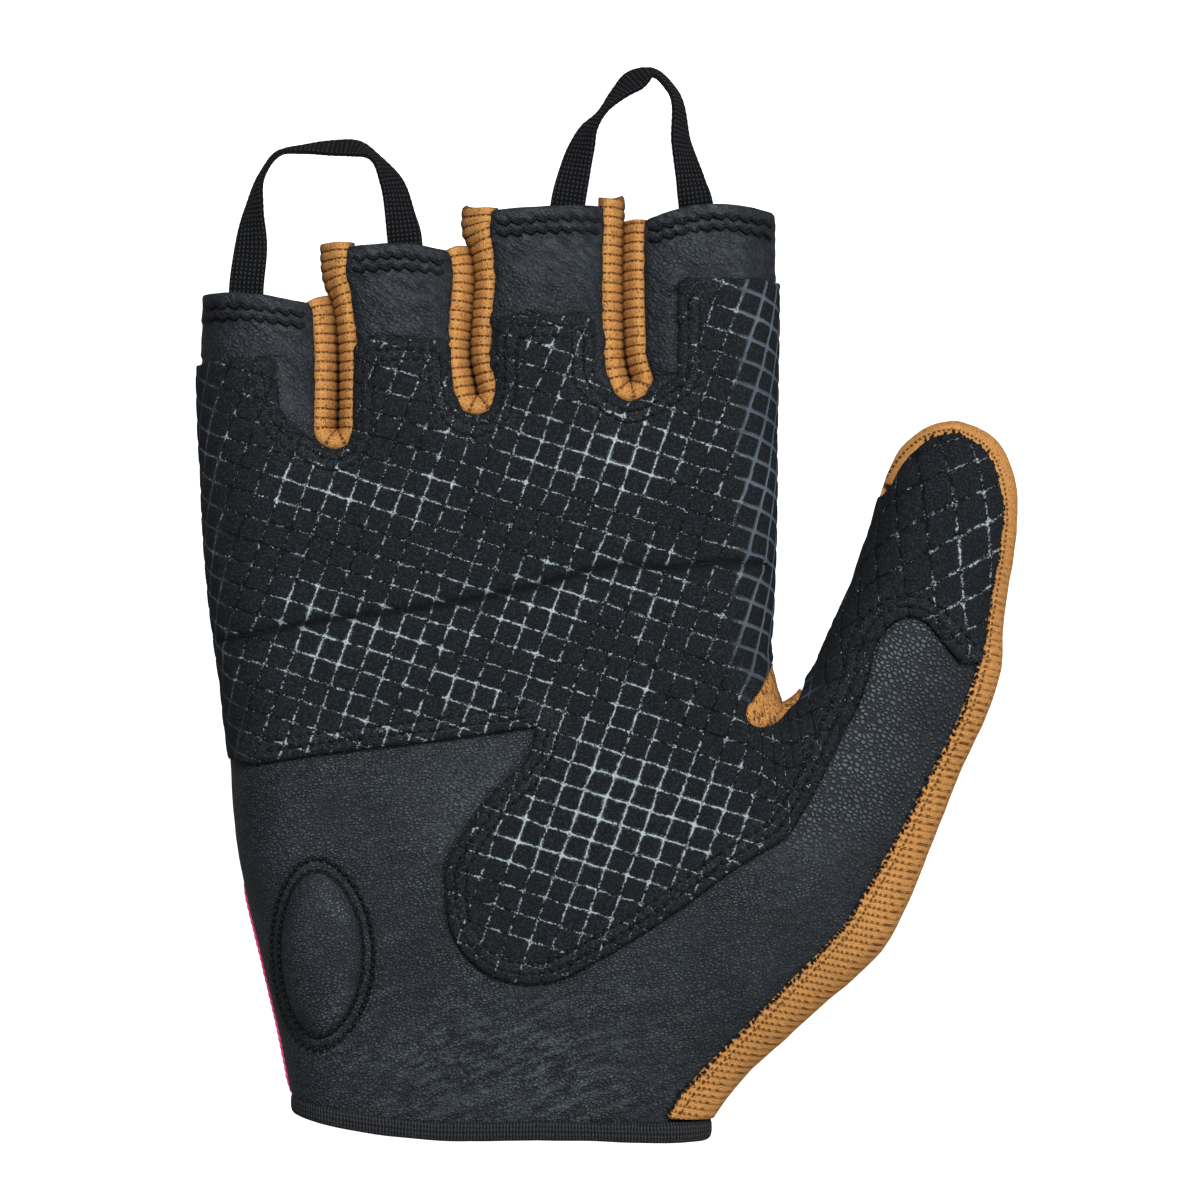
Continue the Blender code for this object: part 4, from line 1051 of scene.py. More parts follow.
def grip_finish(look):
    """Black suede-like overlay: matt nap in squares with round corners, and thin grooves between them, near black
    with painted shade where they are deep, grey in specks and dashes where the nap has worn off and painted sheen
    lights them, and smooth near the sides, where painted sheen makes them lighter."""
    f = Finish("grip")
    u, v = f.pattern()
    lit, sewn, fold, glossy = (f.number(label) for label in ("lit", "stitched", "fold", "glossy"))
    jitter = (f.noise(0.6 * MM, 3.0, 0.65) - 0.5) * (1 - glossy * 0.8)
    sway = f.noise(2.4 * MM, 2.0) - 0.5
    corner = look.corner / look.pitch
    across = (corner - (u + jitter * 0.12 + sway * 0.14).to_line()).higher(0.0)
    along = (corner - (v - jitter * 0.11 - sway * 0.14).to_line()).higher(0.0)
    edge = corner - (across * across + along * along) ** 0.5
    half = look.groove / look.pitch / 2
    groove = 1 - edge.ease(half * 0.35, half * 1.75)
    crest = 1 - edge.ease(half * 1.0, half * 4.0)
    nap = f.noise(0.36 * MM, 2.0, 0.7)
    grit = (f.noise(0.42 * MM, 3.0, 0.8) - 0.5) * 4
    broken = (f.noise(1.7 * MM, 2.0, 0.5) - 0.5) * 3
    # Painted sheen and wear: the lit number, with noise for worn patches, brightens the grooves and, where it is
    # high, the squares' borders.
    sheen_and_wear_total = lit + broken * 0.6 + grit * 0.75
    bright = groove * (sheen_and_wear_total - 0.25).ease(0.0, 0.6) * (1 - fold)
    halo = crest * (sheen_and_wear_total - 0.8).ease(0.0, 0.7) * (1 - fold)
    scuff = sewn * (grit * 0.5 + lit * 0.25).ease(0.26, 0.5) * (broken + 0.45).ease(0.3, 0.8)
    # Painted sheen: smooth grooves near the sides turn towards the side groove colour.
    smooth_line = (1 - edge.ease(half * 1.3, half * 2.7)) * glossy * (lit * 0.8 + 0.35).lower(1.0)
    cloth = f.colour(nap.ease(0.45, 0.68), shade(look.colour, 0.8), shade(look.colour, 2.7))
    # Painted shade: the grooves and the crease's fold go near black.
    dark = f.colour((groove * 0.85).higher(fold * 0.85), cloth, shade(look.colour, 0.2))
    fluff = sewn * nap.ease(0.35, 0.75) * 0.04
    sheened_and_worn_nap = bright.higher(halo * 0.55).higher(scuff * 0.5).higher(fluff) * (1 - glossy)
    sheened_and_worn = f.colour(sheened_and_worn_nap, dark, look.line)
    tone = f.colour(smooth_line, sheened_and_worn, look.side_line)
    height = (1 - groove) * 0.75 + nap * 0.25 + grit * (sewn * 0.12 + 0.03)
    return f.done(tone, 0.92 - bright * 0.4, f.relief(height, look.relief), specular_ior_level=0.12)


def knit_finish(look, name="knit", kind="ribs"):
    """Tan knit. The pattern's first coordinate counts its ribs or its rows, the second its stitches. Ribs have
    dark dashes between them, rows have short slanted holes and a chain of holes beside their seam, and plain
    knit has small scattered ones."""
    f = Finish(name)
    u, v = f.pattern()
    deep = f.number("deep")
    wobble = f.noise(1.1 * MM, 2.0) - 0.5
    grit = f.noise(0.42 * MM, 3.0, 0.75)
    gap = (grit - 0.5) * 3
    if kind == "ribs":
        along = u + wobble * 0.16
        between = 1 - along.to_line().ease(0.04, 0.15)
        dash = (v + wobble * 0.9).to_line().ease(0.1, 0.26)
        hole = (1 - (along + 0.5).to_line().ease(0.02, 0.1)) * (1 - (v + 0.5).to_line().ease(0.03, 0.14))
        specks = (f.noise(0.6 * MM, 2.0, 0.6) - 0.5).ease(0.07, 0.17) * 0.6
        dark = between * (dash * 0.8 + 0.2) * (gap + 0.8).ease(0.0, 0.9) + hole * (gap + 0.4).ease(0.0, 0.6) * 0.75
        dark = dark.higher(specks)
    elif kind == "rows":
        strength = f.number("rows")
        between = 1 - (u + wobble * 0.12).to_line().ease(0.12, 0.27)
        dash = 1 - (v + u.fraction() * 1.4 + wobble * 0.5).to_line().ease(0.1, 0.34)
        between = between * strength
        specks = (f.noise(0.55 * MM, 2.0, 0.6) - 0.5).ease(0.1, 0.2) * (0.75 - strength * 0.4)
        dark = (between * (dash * 0.85 + 0.12) * (gap + 0.85).ease(0.0, 0.9)).higher(specks)
        chain = 1 - abs(f.number("from_seam") + wobble * 0.3 - look.chain / MM).ease(0.1, 0.32)
        dark = dark.higher(chain * f.number("along_seam").to_line().ease(0.1, 0.3) * (gap + 1.0).ease(0.0, 0.9) * 0.9)
    else:
        between = u * 0.0
        drawn = f.stretched(1.0, 0.4, 1.0)
        dark = (f.noise(0.6 * MM, 3.0, 0.75, drawn) - 0.48).ease(0.02, 0.12) * 0.85
    yarn = (v * (4 * math.pi) + u * 3.0).sine() * 0.5 + 0.5
    patch = f.noise(6 * MM, 3.0)
    # The rows' copy of the tan is 1.12 times lighter as painted light, against the shade where the band turns down
    # the thumb's side.
    tan = shade(look.colour, {"ribs": 1.07, "rows": 1.12}.get(kind, 1.0))
    base = f.colour(patch, shade(tan, 0.92), shade(tan, 1.08))
    fuzz = f.colour(grit.ease(0.36, 0.62), shade(tan, 0.74), base)
    # Painted shadow: the knit goes to a near black copy of the shadow colour where the deep number is high.
    tone = f.colour(deep, f.colour(dark.lower(0.94), fuzz, look.shadow), shade(look.shadow, 0.1))
    height = (1 - between) * 0.45 + yarn * 0.2 + grit * 0.9 - dark * 0.3
    return f.done(tone, 0.9, f.relief(height, look.relief), specular_ior_level=0.12)


def ribbed_finish(look):
    """Charcoal rib knit of the wrist binding: fine ribs with small stitches along them."""
    f = Finish("binding")
    u, v = f.pattern()
    wobble = f.noise(0.8 * MM, 2.0) - 0.5
    drift = f.noise(2.5 * MM, 2.0) - 0.5
    rib = (u + wobble * 0.5 + drift * 0.8).to_line() * 2
    loop = (v + rib * 0.5 + wobble * 0.8 + drift * 0.6).to_line() * 2
    grit = f.noise(0.22 * MM, 3.0, 0.7)
    height = rib * 0.5 + loop * 0.3 + grit * 0.3
    # The colour follows the relief: lighter on the ribs' tops and near black between them, partly the yarn's tone and
    # partly painted highlight and shade.
    tone = f.colour((height - 0.35).ease(0.06, 0.42), shade(look.colour, 0.12), shade(look.colour, 3.7))
    return f.done(tone, 0.88, f.relief(height, 0.3 * MM), specular_ior_level=0.25)


def webbing_finish(look):
    """Black woven webbing: short floats on the warps, in rows across."""
    f = Finish("webbing")
    u, v = f.pattern()
    sway = f.noise(1.5 * MM, 2.0) - 0.5
    beat = v + u.to_line() * 0.8 + sway * 0.5
    float_height = (beat.to_line() * 2).ease(0.05, 0.65)
    warp = (u.to_line() * 2).ease(0.0, 0.7)
    grit = f.noise(0.22 * MM, 3.0, 0.7)
    height = float_height.lower(warp) * 0.8 + grit * 0.3
    # The colour follows the relief: lighter on the floats and dark between them, partly the yarn's tone and partly
    # painted highlight and shade.
    tone = f.colour((height - 0.35).ease(0.1, 0.75), shade(look.colour, 0.32), shade(look.colour, 2.8))
    return f.done(tone, 0.75, f.relief(height, 0.35 * MM), specular_ior_level=0.1)


def thread_finish(look):
    """Black sewing thread: fine fibres that catch a little light."""
    f = Finish("thread")
    fibre = f.noise(0.12 * MM, 2.0, 0.6)
    tone = f.colour(fibre.ease(0.5, 0.8), look.colour, shade(look.colour, 2.4))
    return f.done(tone, 0.55, f.relief(fibre, 0.08 * MM), specular_ior_level=0.16)


def piping_finish(look):
    """Bright piping: soft fibres with slightly paler tops."""
    f = Finish("piping")
    fibre = f.noise(0.3 * MM, 3.0, 0.7)
    tone = f.colour(fibre.ease(0.4, 0.8), shade(look.piping, 0.85), shade(look.piping, 1.2))
    return f.done(tone, 0.7, f.relief(fibre, 0.15 * MM))


def floor_finish(look):
    """Pale studio floor with a very faint grain."""
    f = Finish("floor")
    grain = f.noise(3 * MM, 2.0)
    tone = f.colour(grain, shade(look.floor, 0.99), look.floor)
    return f.done(tone, 0.9, specular_ior_level=0.1, emission_color=(1.0, 1.0, 1.0, 1.0), emission_strength=look.glow)


def colour_property(name, colour, words):
    return FloatVectorProperty(
        name=name, description=words, default=colour, subtype="COLOR", size=3, min=0.0, max=1.0
    )


def length_property(name, size, words):
    return FloatProperty(name=name, description=words, default=size, unit="LENGTH", precision=5, min=1e-5)


class GloveLeatherLook(bpy.types.PropertyGroup):
    """Sizes and colours of the leather."""

    colour: colour_property("Colour", (0.0075, 0.0098, 0.0132), "Colour of the leather in its creases")
    # The worn colour is reached where wear and painted sheen lighten the grain's tops.
    speck: colour_property("Worn colour", (0.066, 0.080, 0.089), "Colour of the leather's worn tops")
    fine_grain: length_property("Fine grain", 0.48 * MM, "Size of the grains on the heel and the sleeves")
    coarse_grain: length_property("Coarse grain", 0.76 * MM, "Size of the scales at the thumb's base")
    grain_depth: length_property("Grain depth", 0.27 * MM, "Depth of the creases")
    net: length_property("Net", 0.75 * MM, "Spacing of the leather's mesh")


class GloveGripLook(bpy.types.PropertyGroup):
    """Sizes and colours of the grip overlay."""

    colour: colour_property("Colour", (0.0052, 0.0066, 0.0082), "Colour of the suede-like squares")
    # The groove colours are reached where wear and painted sheen lighten the grooves.
    line: colour_property("Groove colour", (0.29, 0.34, 0.36), "Colour of the worn grooves")
    side_line: colour_property("Side groove colour", (0.095, 0.120, 0.150), "Colour of the grooves at the sides")
    pitch: length_property("Pitch", 3.88 * MM, "Distance from one groove to the next")
    groove: length_property("Groove", 0.3 * MM, "Width of a groove")
    corner: length_property("Corner", 0.65 * MM, "Radius of the squares' corners")
    relief: length_property("Relief", 0.25 * MM, "Depth of a groove")
    net: length_property("Net", 0.52 * MM, "Spacing of the overlay's mesh")


class GloveKnitLook(bpy.types.PropertyGroup):
    """Sizes and colours of the knit, the binding and the piping."""

    colour: colour_property("Colour", (0.470, 0.220, 0.065), "Colour of the tan knit")
    shadow: colour_property("Shadow", (0.055, 0.018, 0.005), "Colour between the ribs")
    piping: colour_property("Piping", (0.83, 0.07, 0.24), "Colour of the piping on the pinky side")
    rib: length_property("Rib", 1.62 * MM, "Distance between the ribs between the fingers")
    band_row: length_property("Band row", 1.28 * MM, "Distance between the rows of holes on the thumb's band")
    chain: length_property("Chain", 1.5 * MM, "Distance of the band's chain of stitch holes from its seam")
    relief: length_property("Relief", 0.28 * MM, "Depth between the ribs")
    net: length_property("Net", 1.0 * MM, "Spacing of the back's mesh")


class GloveTrimLook(bpy.types.PropertyGroup):
    """Colours of the dark trims."""

    colour: colour_property("Colour", (0.0074, 0.0081, 0.0094), "Colour of the webbing and the binding")
    warps: IntProperty(name="Warps", description="Warps across the webbing", default=8, min=2, max=30)
    rib: length_property("Rib", 0.56 * MM, "Distance between the binding's ribs")


class GloveThreadLook(bpy.types.PropertyGroup):
    """Sizes and colour of the stitches."""

    colour: colour_property("Colour", (0.0020, 0.0020, 0.0026), "Colour of the thread")
    length: length_property("Length", 1.72 * MM, "Distance from one stitch to the next")
    rim_length: length_property("Rim length", 2.15 * MM, "Distance from one stitch to the next under the rims")
    pad_length: length_property("Pad length", 1.2 * MM, "Distance from one stitch to the next round the heel pad")
    width: length_property("Width", 0.46 * MM, "Thickness of the thread")


class GloveStageLook(bpy.types.PropertyGroup):
    """The floor, the lights and the camera."""

    floor: colour_property("Floor", (0.50, 0.50, 0.50), "Colour of the floor")
    glow: FloatProperty(name="Glow", description="Light that the floor sends out", default=1.0, min=0.0)
    light: FloatProperty(name="Light", description="Strength of the surrounding light", default=0.26, min=0.0)
    key: FloatProperty(name="Key", description="Power of the key light", default=12.4, min=0.0, unit="POWER")
    field: length_property("Field", 206.4 * MM, "Width of the view at the glove's middle height")
    lens: FloatProperty(name="Lens", description="Focal length of the camera", default=100.0, min=20.0)


PATTERN_PIVOT = np.array([0.0542, 0.0435])
PATTERN_FAN = (120.0, 85.0)  # directions between which the squares narrow, seen from the pivot
PATTERN_BEND = 35.0
PATTERN_CROSSING = np.array([0.012006, 0.053074])
ROW_SLOPE = math.radians(-17.5)
COLUMN_LEAN = math.radians(20)
# Places where painted sheen and wear make the grooves bright, or leave them dark: strengths, and reaches in
# millimetres.
SHEEN_AND_WEAR_PLACES = dict(
    across=(-0.266, -0.113, 0.057, 0.227, 0.346, -0.317, -0.198, -0.062, 0.04, 0.261, 0.125, 0.057, 0.379, 0.193,
            0.159, 0.125, -0.096, 0.261, -0.266, 0.473, 0.468, 0.481, 0.43, 0.473, 0.413, 0.125, -0.147, -0.028,
            0.838, 0.804, 0.821, 0.753, 0.668, 0.617, -0.444, -0.461, -0.461,
            -0.325, -0.255, -0.165, -0.085, 0.09, 0.19, 0.27, -0.31, -0.3, 0.06, 0.15, 0.19, 0.0, 0.24, 0.09,
            0.15, -0.217, 0.057, -0.033),
    up=(0.669, 0.706, 0.742, 0.764, 0.75, 0.551, 0.551, 0.562, 0.595, 0.456, 0.382, 0.265, 0.426, 0.514, 0.279,
        0.985, 0.941, 0.985, 0.941, 0.911, 1.454, 0.72, 1.044, 0.809, 1.59, 1.363, 1.249, 1.044, 0.838, 0.75,
        0.941, 0.75, 0.75, 0.617, 0.676, 0.97, 0.809,
        0.915, 0.905, 0.90, 0.915, 0.955, 0.955, 0.96, 0.765, 0.71, 0.81, 0.815, 0.71, 0.67, 0.615, 0.335,
        0.755, 0.709, 0.403, 0.615),
    reach=(9, 11, 12, 11, 9, 6, 7, 7, 7, 15, 13, 9, 9, 8, 9, 15, 14, 12, 8, 7, 8, 7, 8, 6, 6, 8, 7, 6, 7, 6, 5, 7,
           8, 9, 5, 6, 5, 5, 5, 5, 5, 6, 6, 6, 5, 6, 8, 8, 7, 8, 5, 7, 5, 7, 6, 5),
    strength=(0.55, 0.6, 0.75, 0.7, 0.2, 0.45, 0.6, 0.5, 0.45, 0.8, 0.65, 0.3, 0.5, 0.3, 0.25, 0.15, 0.1, 0.3, -0.05,
              0.8, 0.6, 0.6, 0.4, 0.5, 0.3, 0.45, 0.3, 0.3, 0.45, 0.4, 0.35, 0.25, -0.3, -0.3, 0.35, 0.3, 0.2,
              0.55, 0.8, 0.6, 0.6, 0.6, 0.6, 0.6, 0.4, 0.45, -0.3, -0.1, -0.5, -0.3, 0.5, -0.4,
              0.35, 0.3, 0.45, 0.3),
)
GRAIN_BAND = dict(across=(0.694, 0.515), up=(0.72, 0.456))
STITCH_INSETS = (1.55 * MM, 3.3 * MM)
HEM = 4.5 * MM
FOLD_TURN = np.array([[0.8, 0.6], [-0.6, 0.8]])  # turns the plan to the way that the heel's folds run
# A fourchette's section, from under the leather to the slot and on under the back: places as shares of
# FOURCHETTE_REACH from the slot, and how proud of the glove's surface it stands, in millimetres.
FOURCHETTE_SECTION = dict(
    share=(1.10, 1.04, 1.0, 0.93, 0.84, 0.73, 0.62, 0.5, 0.38, 0.26, 0.15, 0.06, 0.0),
    roll=(-0.9, -0.35, 0.05, 0.42, 0.72, 0.86, 0.84, 0.72, 0.5, 0.3, 0.15, 0.05, 0.0),
    under=(0.1, 0.25, 0.5, 0.75, 1.0, 1.06),
)
FOURCHETTE_TOPS = ((1.2, 1.5), (0.5, 0.8), (1.9, 0.3))  # how far its arms pass the rims, in millimetres


FLOOR_REACH = 1.6
SENSOR_WIDTH = 36.0
VIEW_MIDDLE = (-0.7 * MM, 1.2 * MM, 12 * MM)  # the place that the camera looks straight down on
# Each light's share of the key light's power, its size and its place. It points at the origin.
LIGHTS = (
    dict(name="key", power=1.0, size=0.3, place=(0.02, 0.48, 0.85)),
    dict(name="fill", power=0.4, size=0.5, place=(0.7, -0.3, 0.6)),
)


def unrolled(plan, radius=SIDE_ROUND):
    """Plan places moved out to where they would lie on the flat cloth: away from the nearest side by the
    length that the rounding hides from above, which is R (pi/2 - 1) at the side and 0 a radius away."""
    best, way = np.full(len(plan), np.inf), np.zeros((len(plan), 2))
    for line in (Sides.pinky, Sides.index, THUMB_SIDE, *Sides.slots):
        reach, place, _ = nearest(plan, line)
        closer = reach < best
        best[closer], way[closer] = reach[closer], (plan - place)[closer]
        on_line = closer & (reach < SLOPE_STEP)
        if on_line.any():
            vertex = ((plan[on_line, None] - line) ** 2).sum(-1).argmin(axis=1)
            way[on_line] = -left_normals(line)[vertex]
    hidden = rolled(radius, radius) - rolled(best, radius)
    return plan - unit(way) * hidden[:, None]


def lattice(plan):
    """The grip pattern's two coordinates, one unit a square. The unrolled plan is bent round a pivot below
    the notch, so that the squares narrow into a fan there and go on along the thumb."""
    flat = unrolled(plan)
    offset = flat - PATTERN_PIVOT
    reach = np.linalg.norm(offset, axis=1)
    angle = np.degrees(np.arctan2(offset[:, 1], offset[:, 0])) % 360
    share = step_up(-angle, -PATTERN_FAN[0], -PATTERN_FAN[1])
    x, y = plan.T
    wide = np.clip(NOTCH[1] - y, 0.3 * MM, 8 * MM)
    palm = step_up((NOTCH[0] - x) / wide, -0.3, 1.0)
    between = (at_height(Sides.index, y) + at_height(Sides.thumb_inner, y)) / 2
    palm = np.where(y > NOTCH[1], x < between, palm)
    share = share * (1 - palm * step_up(y, NOTCH[1] - 8 * MM, NOTCH[1] + 6 * MM))
    turned = np.radians(angle - PATTERN_BEND * share)
    reach = reach * (1 - 0.16 * share * step_up(reach, 30 * MM, 75 * MM))
    flat = PATTERN_PIVOT + reach[:, None] * np.column_stack([np.cos(turned), np.sin(turned)]) - PATTERN_CROSSING
    u = flat[:, 0] * math.cos(COLUMN_LEAN) - flat[:, 1] * math.sin(COLUMN_LEAN)
    v = flat[:, 1] * math.cos(ROW_SLOPE) - flat[:, 0] * math.sin(ROW_SLOPE)
    return np.column_stack([u, v])


def sheened_and_worn(plan):
    """Brightness of the grooves at each plan point, standing for painted sheen and wear: a sum of bells round the
    places in the table.
    """
    value = np.full(len(plan), 0.06)
    for place, reach, strength in zip(on_hand(SHEEN_AND_WEAR_PLACES), SHEEN_AND_WEAR_PLACES["reach"], SHEEN_AND_WEAR_PLACES["strength"]):
        value += 0.72 * strength * bell(np.linalg.norm(plan - place, axis=1), reach * MM)
    return value


def ends_off(line, first, last=None):
    """The line without a length at its start and one at its end."""
    run = lengths_along(line)
    marks = np.linspace(first, run[-1] - (first if last is None else last), max(4, len(line)))
    return at_lengths(line, marks, run)


PAD_RINGS = ((12.5 * MM, 28.0 * MM), (15.3 * MM, 32.4 * MM))  # the two stitched ovals: widths and lengths


def pad_middle():
    return np.array([PAD_MIDDLE[0] * PALM_WIDTH, float(hand_height(PAD_MIDDLE[1]))])


def pad_ring(wide, long, count=120):
    """An oval round the heel pad's middle, a little fuller towards the palm's middle."""
    angle = np.linspace(0, 2 * math.pi, count + 1)
    lean = PAD_LEAN * wide * np.cos(angle) ** 2 * (np.cos(angle) > 0)
    return pad_middle() + np.column_stack([wide / 2 * np.cos(angle) + lean, long / 2 * np.sin(angle)])


def rim_rows():
    """The lines of the two stitch rows under each finger's rim."""
    rows = []
    for k, rim in enumerate(finger_border(FOURCHETTE_REACH + GAP)[1]):
        for drop in (2.0 * MM, HEM - 0.6 * MM):
            row = ends_off(rim, 0.9 * MM) - (0.0, drop)
            row[:, 1] += 0.15 * MM * noise(row, 4 * MM, 31 + k)
            rows.append(row)
    return rows


def grip_edges():
    """The overlay's sewn borders, with the overlay on their right: the tongues, the thumb's end and the
    bulb, and the lower edge."""
    bulb = np.vstack([smooth(on_thumb(GRIP_THUMB_EDGE)), smooth(on_hand(GRIP_BULB_EDGE))[1:]])
    return [tongue_tops(), bulb, smooth(on_hand(GRIP_LOWER_EDGE))]


def grip_rows():
    rows = []
    for k, edge in enumerate(grip_edges()):
        for reach in STITCH_INSETS:
            rows.append(ends_off(inset(edge, reach, 0.8 * MM), (0.6 * MM, 0.4 * MM, 2.0 * MM)[k]))
    return rows


def settings(context, part):
    return getattr(context.scene, "glove_" + part)


def finish_of(name, build, look):
    """The finish of that name, made the first time that a piece asks for it."""
    return bpy.data.materials.get("glove_" + name) or build(look)


class GLOVE_OT_leather(bpy.types.Operator):
    """Builds the leather of the palm, the fingers and the thumb"""

    bl_idname = "glove.leather"
    bl_label = "Leather"

    def execute(self, context):
        look = settings(context, "leather")
        net, quads = glove_net(look.net * COARSE, SIDE_ROUND, 1.0)
        plan, quads = trim(net, quads, leather_outline())
        base, normals = surface(plan, palm_side)
        lift = 0.11 * MM * noise(plan, 9 * MM, 3) + 0.05 * MM * noise(plan, 3 * MM, 4)
        # The hems under the rims, and the rows of stitches that pull them in
        rims = finger_border(FOURCHETTE_REACH + GAP)[1]
        hem = least_distance(plan, rims)
        lift += 0.28 * MM * (1 - step_up(hem, HEM - 0.4 * MM, HEM + 0.5 * MM))
        rows = least_distance(plan, rim_rows())
        lift -= 0.22 * MM * bell(rows, 0.6 * MM)
        lift += 0.2 * MM * noise(plan * (1.0, 0.55), 1.2 * MM, 5) * bell(hem - 3 * MM, 3 * MM)
        finger = step_up(plan[:, 1], hand_height(1.02), hand_height(1.2)) * (plan[:, 0] < PALM_WIDTH / 2 + 1 * MM)
        lift += 0.3 * MM * finger * noise(plan * (0.45, 1.0), 1.5 * MM, 6)
        # The heel pad's two rings are pulled in and the leather between them stands up
        for wide, long in PAD_RINGS:
            lift -= 0.3 * MM * bell(distance(plan, pad_ring(wide, long)), 0.6 * MM)
        ring = distance(plan, pad_ring(*np.mean(PAD_RINGS, axis=0)))
        lift += 0.22 * MM * bell(ring, 0.9 * MM)
        edges = least_distance(plan, grip_edges())
        lift -= 0.25 * MM * bell(edges, 0.9 * MM)
        # Wrinkles over the overlay's tongues and folds at the heel
        tops = distance(plan, tongue_tops()) - 1.5 * MM
        lift += 0.75 * MM * finger * bell(tops, 2.4 * MM) * noise(plan * (0.4, 1.6), 1.7 * MM, 9)
        folded = spot(plan, 0.05, 0.07, 12 * MM, (0.5, 1.0))
        lift += 0.42 * MM * folded * noise(plan @ FOLD_TURN * (1.6, 0.35), 2.2 * MM, 7)
        # Where the grain is coarse, and how far its tops are lightened: by wear, by a painted sheen over the thumb's
        # base, the heel and the folds, and less under painted shade along the band's seam and the pinky side
        band = spaced(on_hand(GRAIN_BAND), 1 * MM)
        thumb = step_up(plan[:, 0], 0.22 * PALM_WIDTH, 0.42 * PALM_WIDTH) * (plan[:, 1] < hand_height(0.95))
        coarse = thumb * step_up(plan[:, 1], hand_height(0.34), hand_height(0.44))
        coarse += 0.5 * spot(plan, -0.02, 0.46, 9 * MM)
        coarse += 0.55 * finger * bell(tops - 2 * MM, 5 * MM)
        coarse += 0.3 * folded + 0.5 * bell(distance(plan, Sides.pinky), 7 * MM) * (plan[:, 1] < hand_height(0.4))
        lit = 0.6 + 0.75 * bell(distance(plan, band), 9 * MM) + 0.15 * noise(plan, 7 * MM, 8)
        lit -= 0.35 * bell(distance(plan, seam_line(0.0)), 7 * MM)
        lit += 0.45 * spot(plan, -0.02, 0.46, 12 * MM)
        lit -= 0.25 * bell(distance(plan, Sides.pinky), 9 * MM)
        lit += 0.3 * folded
        # Painted shade: the fingers darken towards their sides and stay lighter along their middles.
        middle = step_up(side_distance(plan), 3 * MM, 9.5 * MM)
        lit *= 1 - finger * (0.72 - 0.45 * middle)
        points, faces, origin = closed_sheet(base, normals, quads, -LEATHER_WALL, lift)
        make_piece(
            "palm_leather_dressed", points, faces, finish_of("leather", leather_finish, look), ["palm_leather"],
            "leather",
            values={
                "coarse": coarse[origin].clip(0, 1), "lit": lit[origin].clip(0, 1.4), "wrinkle": folded[origin],
                "finger": finger[origin],
                # Painted shadow along the overlay's edges and, weaker, along the rim stitch rows
                "sewn": (bell(edges, 0.7 * MM) + 0.4 * bell(rows, 0.6 * MM))[origin].clip(0, 1),
            },
        )
        return {"FINISHED"}


class GLOVE_OT_grip(bpy.types.Operator):
    """Builds the grip overlay with its squares and stitch channels"""

    bl_idname = "glove.grip"
    bl_label = "Grip overlay"

    def execute(self, context):
        look = settings(context, "grip")
        net, quads = glove_net(look.net * COARSE, SIDE_ROUND)
        plan, quads = trim(net, quads, grip_outline())
        base, _ = surface(plan, palm_side)
        normals = surface(plan, lambda places: palm_side(places, depth=0.0))[1]
        pattern = lattice(plan) / look.pitch
        line = (0.5 - np.abs(pattern % 1 - 0.5)).min(axis=1)
        lift = 0.14 * MM * step_up(line, 0.03, 0.22) + 0.12 * MM * noise(plan, 7 * MM, 11)
        rows = least_distance(plan, grip_rows())
        channel = bell(rows, 0.5 * MM)
        lift -= 0.2 * MM * channel
        edges = least_distance(plan, grip_edges())
        lift -= 0.2 * MM * (1 - step_up(edges, 0.0, 0.8 * MM))
        lift += 0.12 * MM * noise(plan, 1.2 * MM, 12) * bell(edges - 2.2 * MM, 2.4 * MM)
        stitched = bell(edges - 2.2 * MM, 2.0 * MM)
        # The overlay bridges the palm's crease and folds sharply along its middle
        crease = distance(plan, CREASE)
        side = step_up(side_distance(plan), 0.0, 4 * MM)
        lift += (CREASE_DEPTH * 0.6 * bell(crease, CREASE_WIDTH) - 0.5 * MM * bell(crease, 0.55 * MM)) * side
        # It lies closer to the leather at the sides, and its underside is sewn down along its borders
        low_left = 1 - step_up(np.linalg.norm(plan - on_hand(GRIP_LOWER_EDGE)[-1], axis=1), 8 * MM, 45 * MM)
        start = band_start()[0]
        low_left = np.maximum(low_left, bell(np.linalg.norm(plan - start, axis=1), 7 * MM))
        flush = (0.55 - 0.35 * low_left) * (1 - side) + side
        high = (OVERLAY_GAP + GRIP_WALL) * flush + lift
        low = OVERLAY_GAP * flush * 0.6 - 0.55 * MM * (1 - step_up(edges, 0.2 * MM, 1.4 * MM))
        points, faces, origin = closed_sheet(base, normals, quads, low, high)
        # Painted shade along the crease's fold
        fold = (1.25 * bell(crease, 0.48 * MM) + 0.3 * bell(crease, 1.6 * MM)).clip(0, 1)
        hand = plan[:, 1] > NOTCH[1]
        # Painted sheen on the smooth grooves near the index and pinky sides
        glossy = (1 - step_up(distance(plan, Sides.index), 4.5 * MM, 8.5 * MM)) * hand
        glossy += 0.45 * (1 - step_up(distance(plan, Sides.pinky), 3 * MM, 6 * MM))
        make_piece(
            "grip_panel_dressed", points, faces, finish_of("grip", grip_finish, look), ["grip_panel"], "grip",
            uv=pattern[origin],
            values={
                "lit": sheened_and_worn(plan)[origin].clip(0, 1), "stitched": stitched[origin], "fold": fold[origin],
                "glossy": glossy[origin].clip(0, 1),
            },
        )
        return {"FINISHED"}


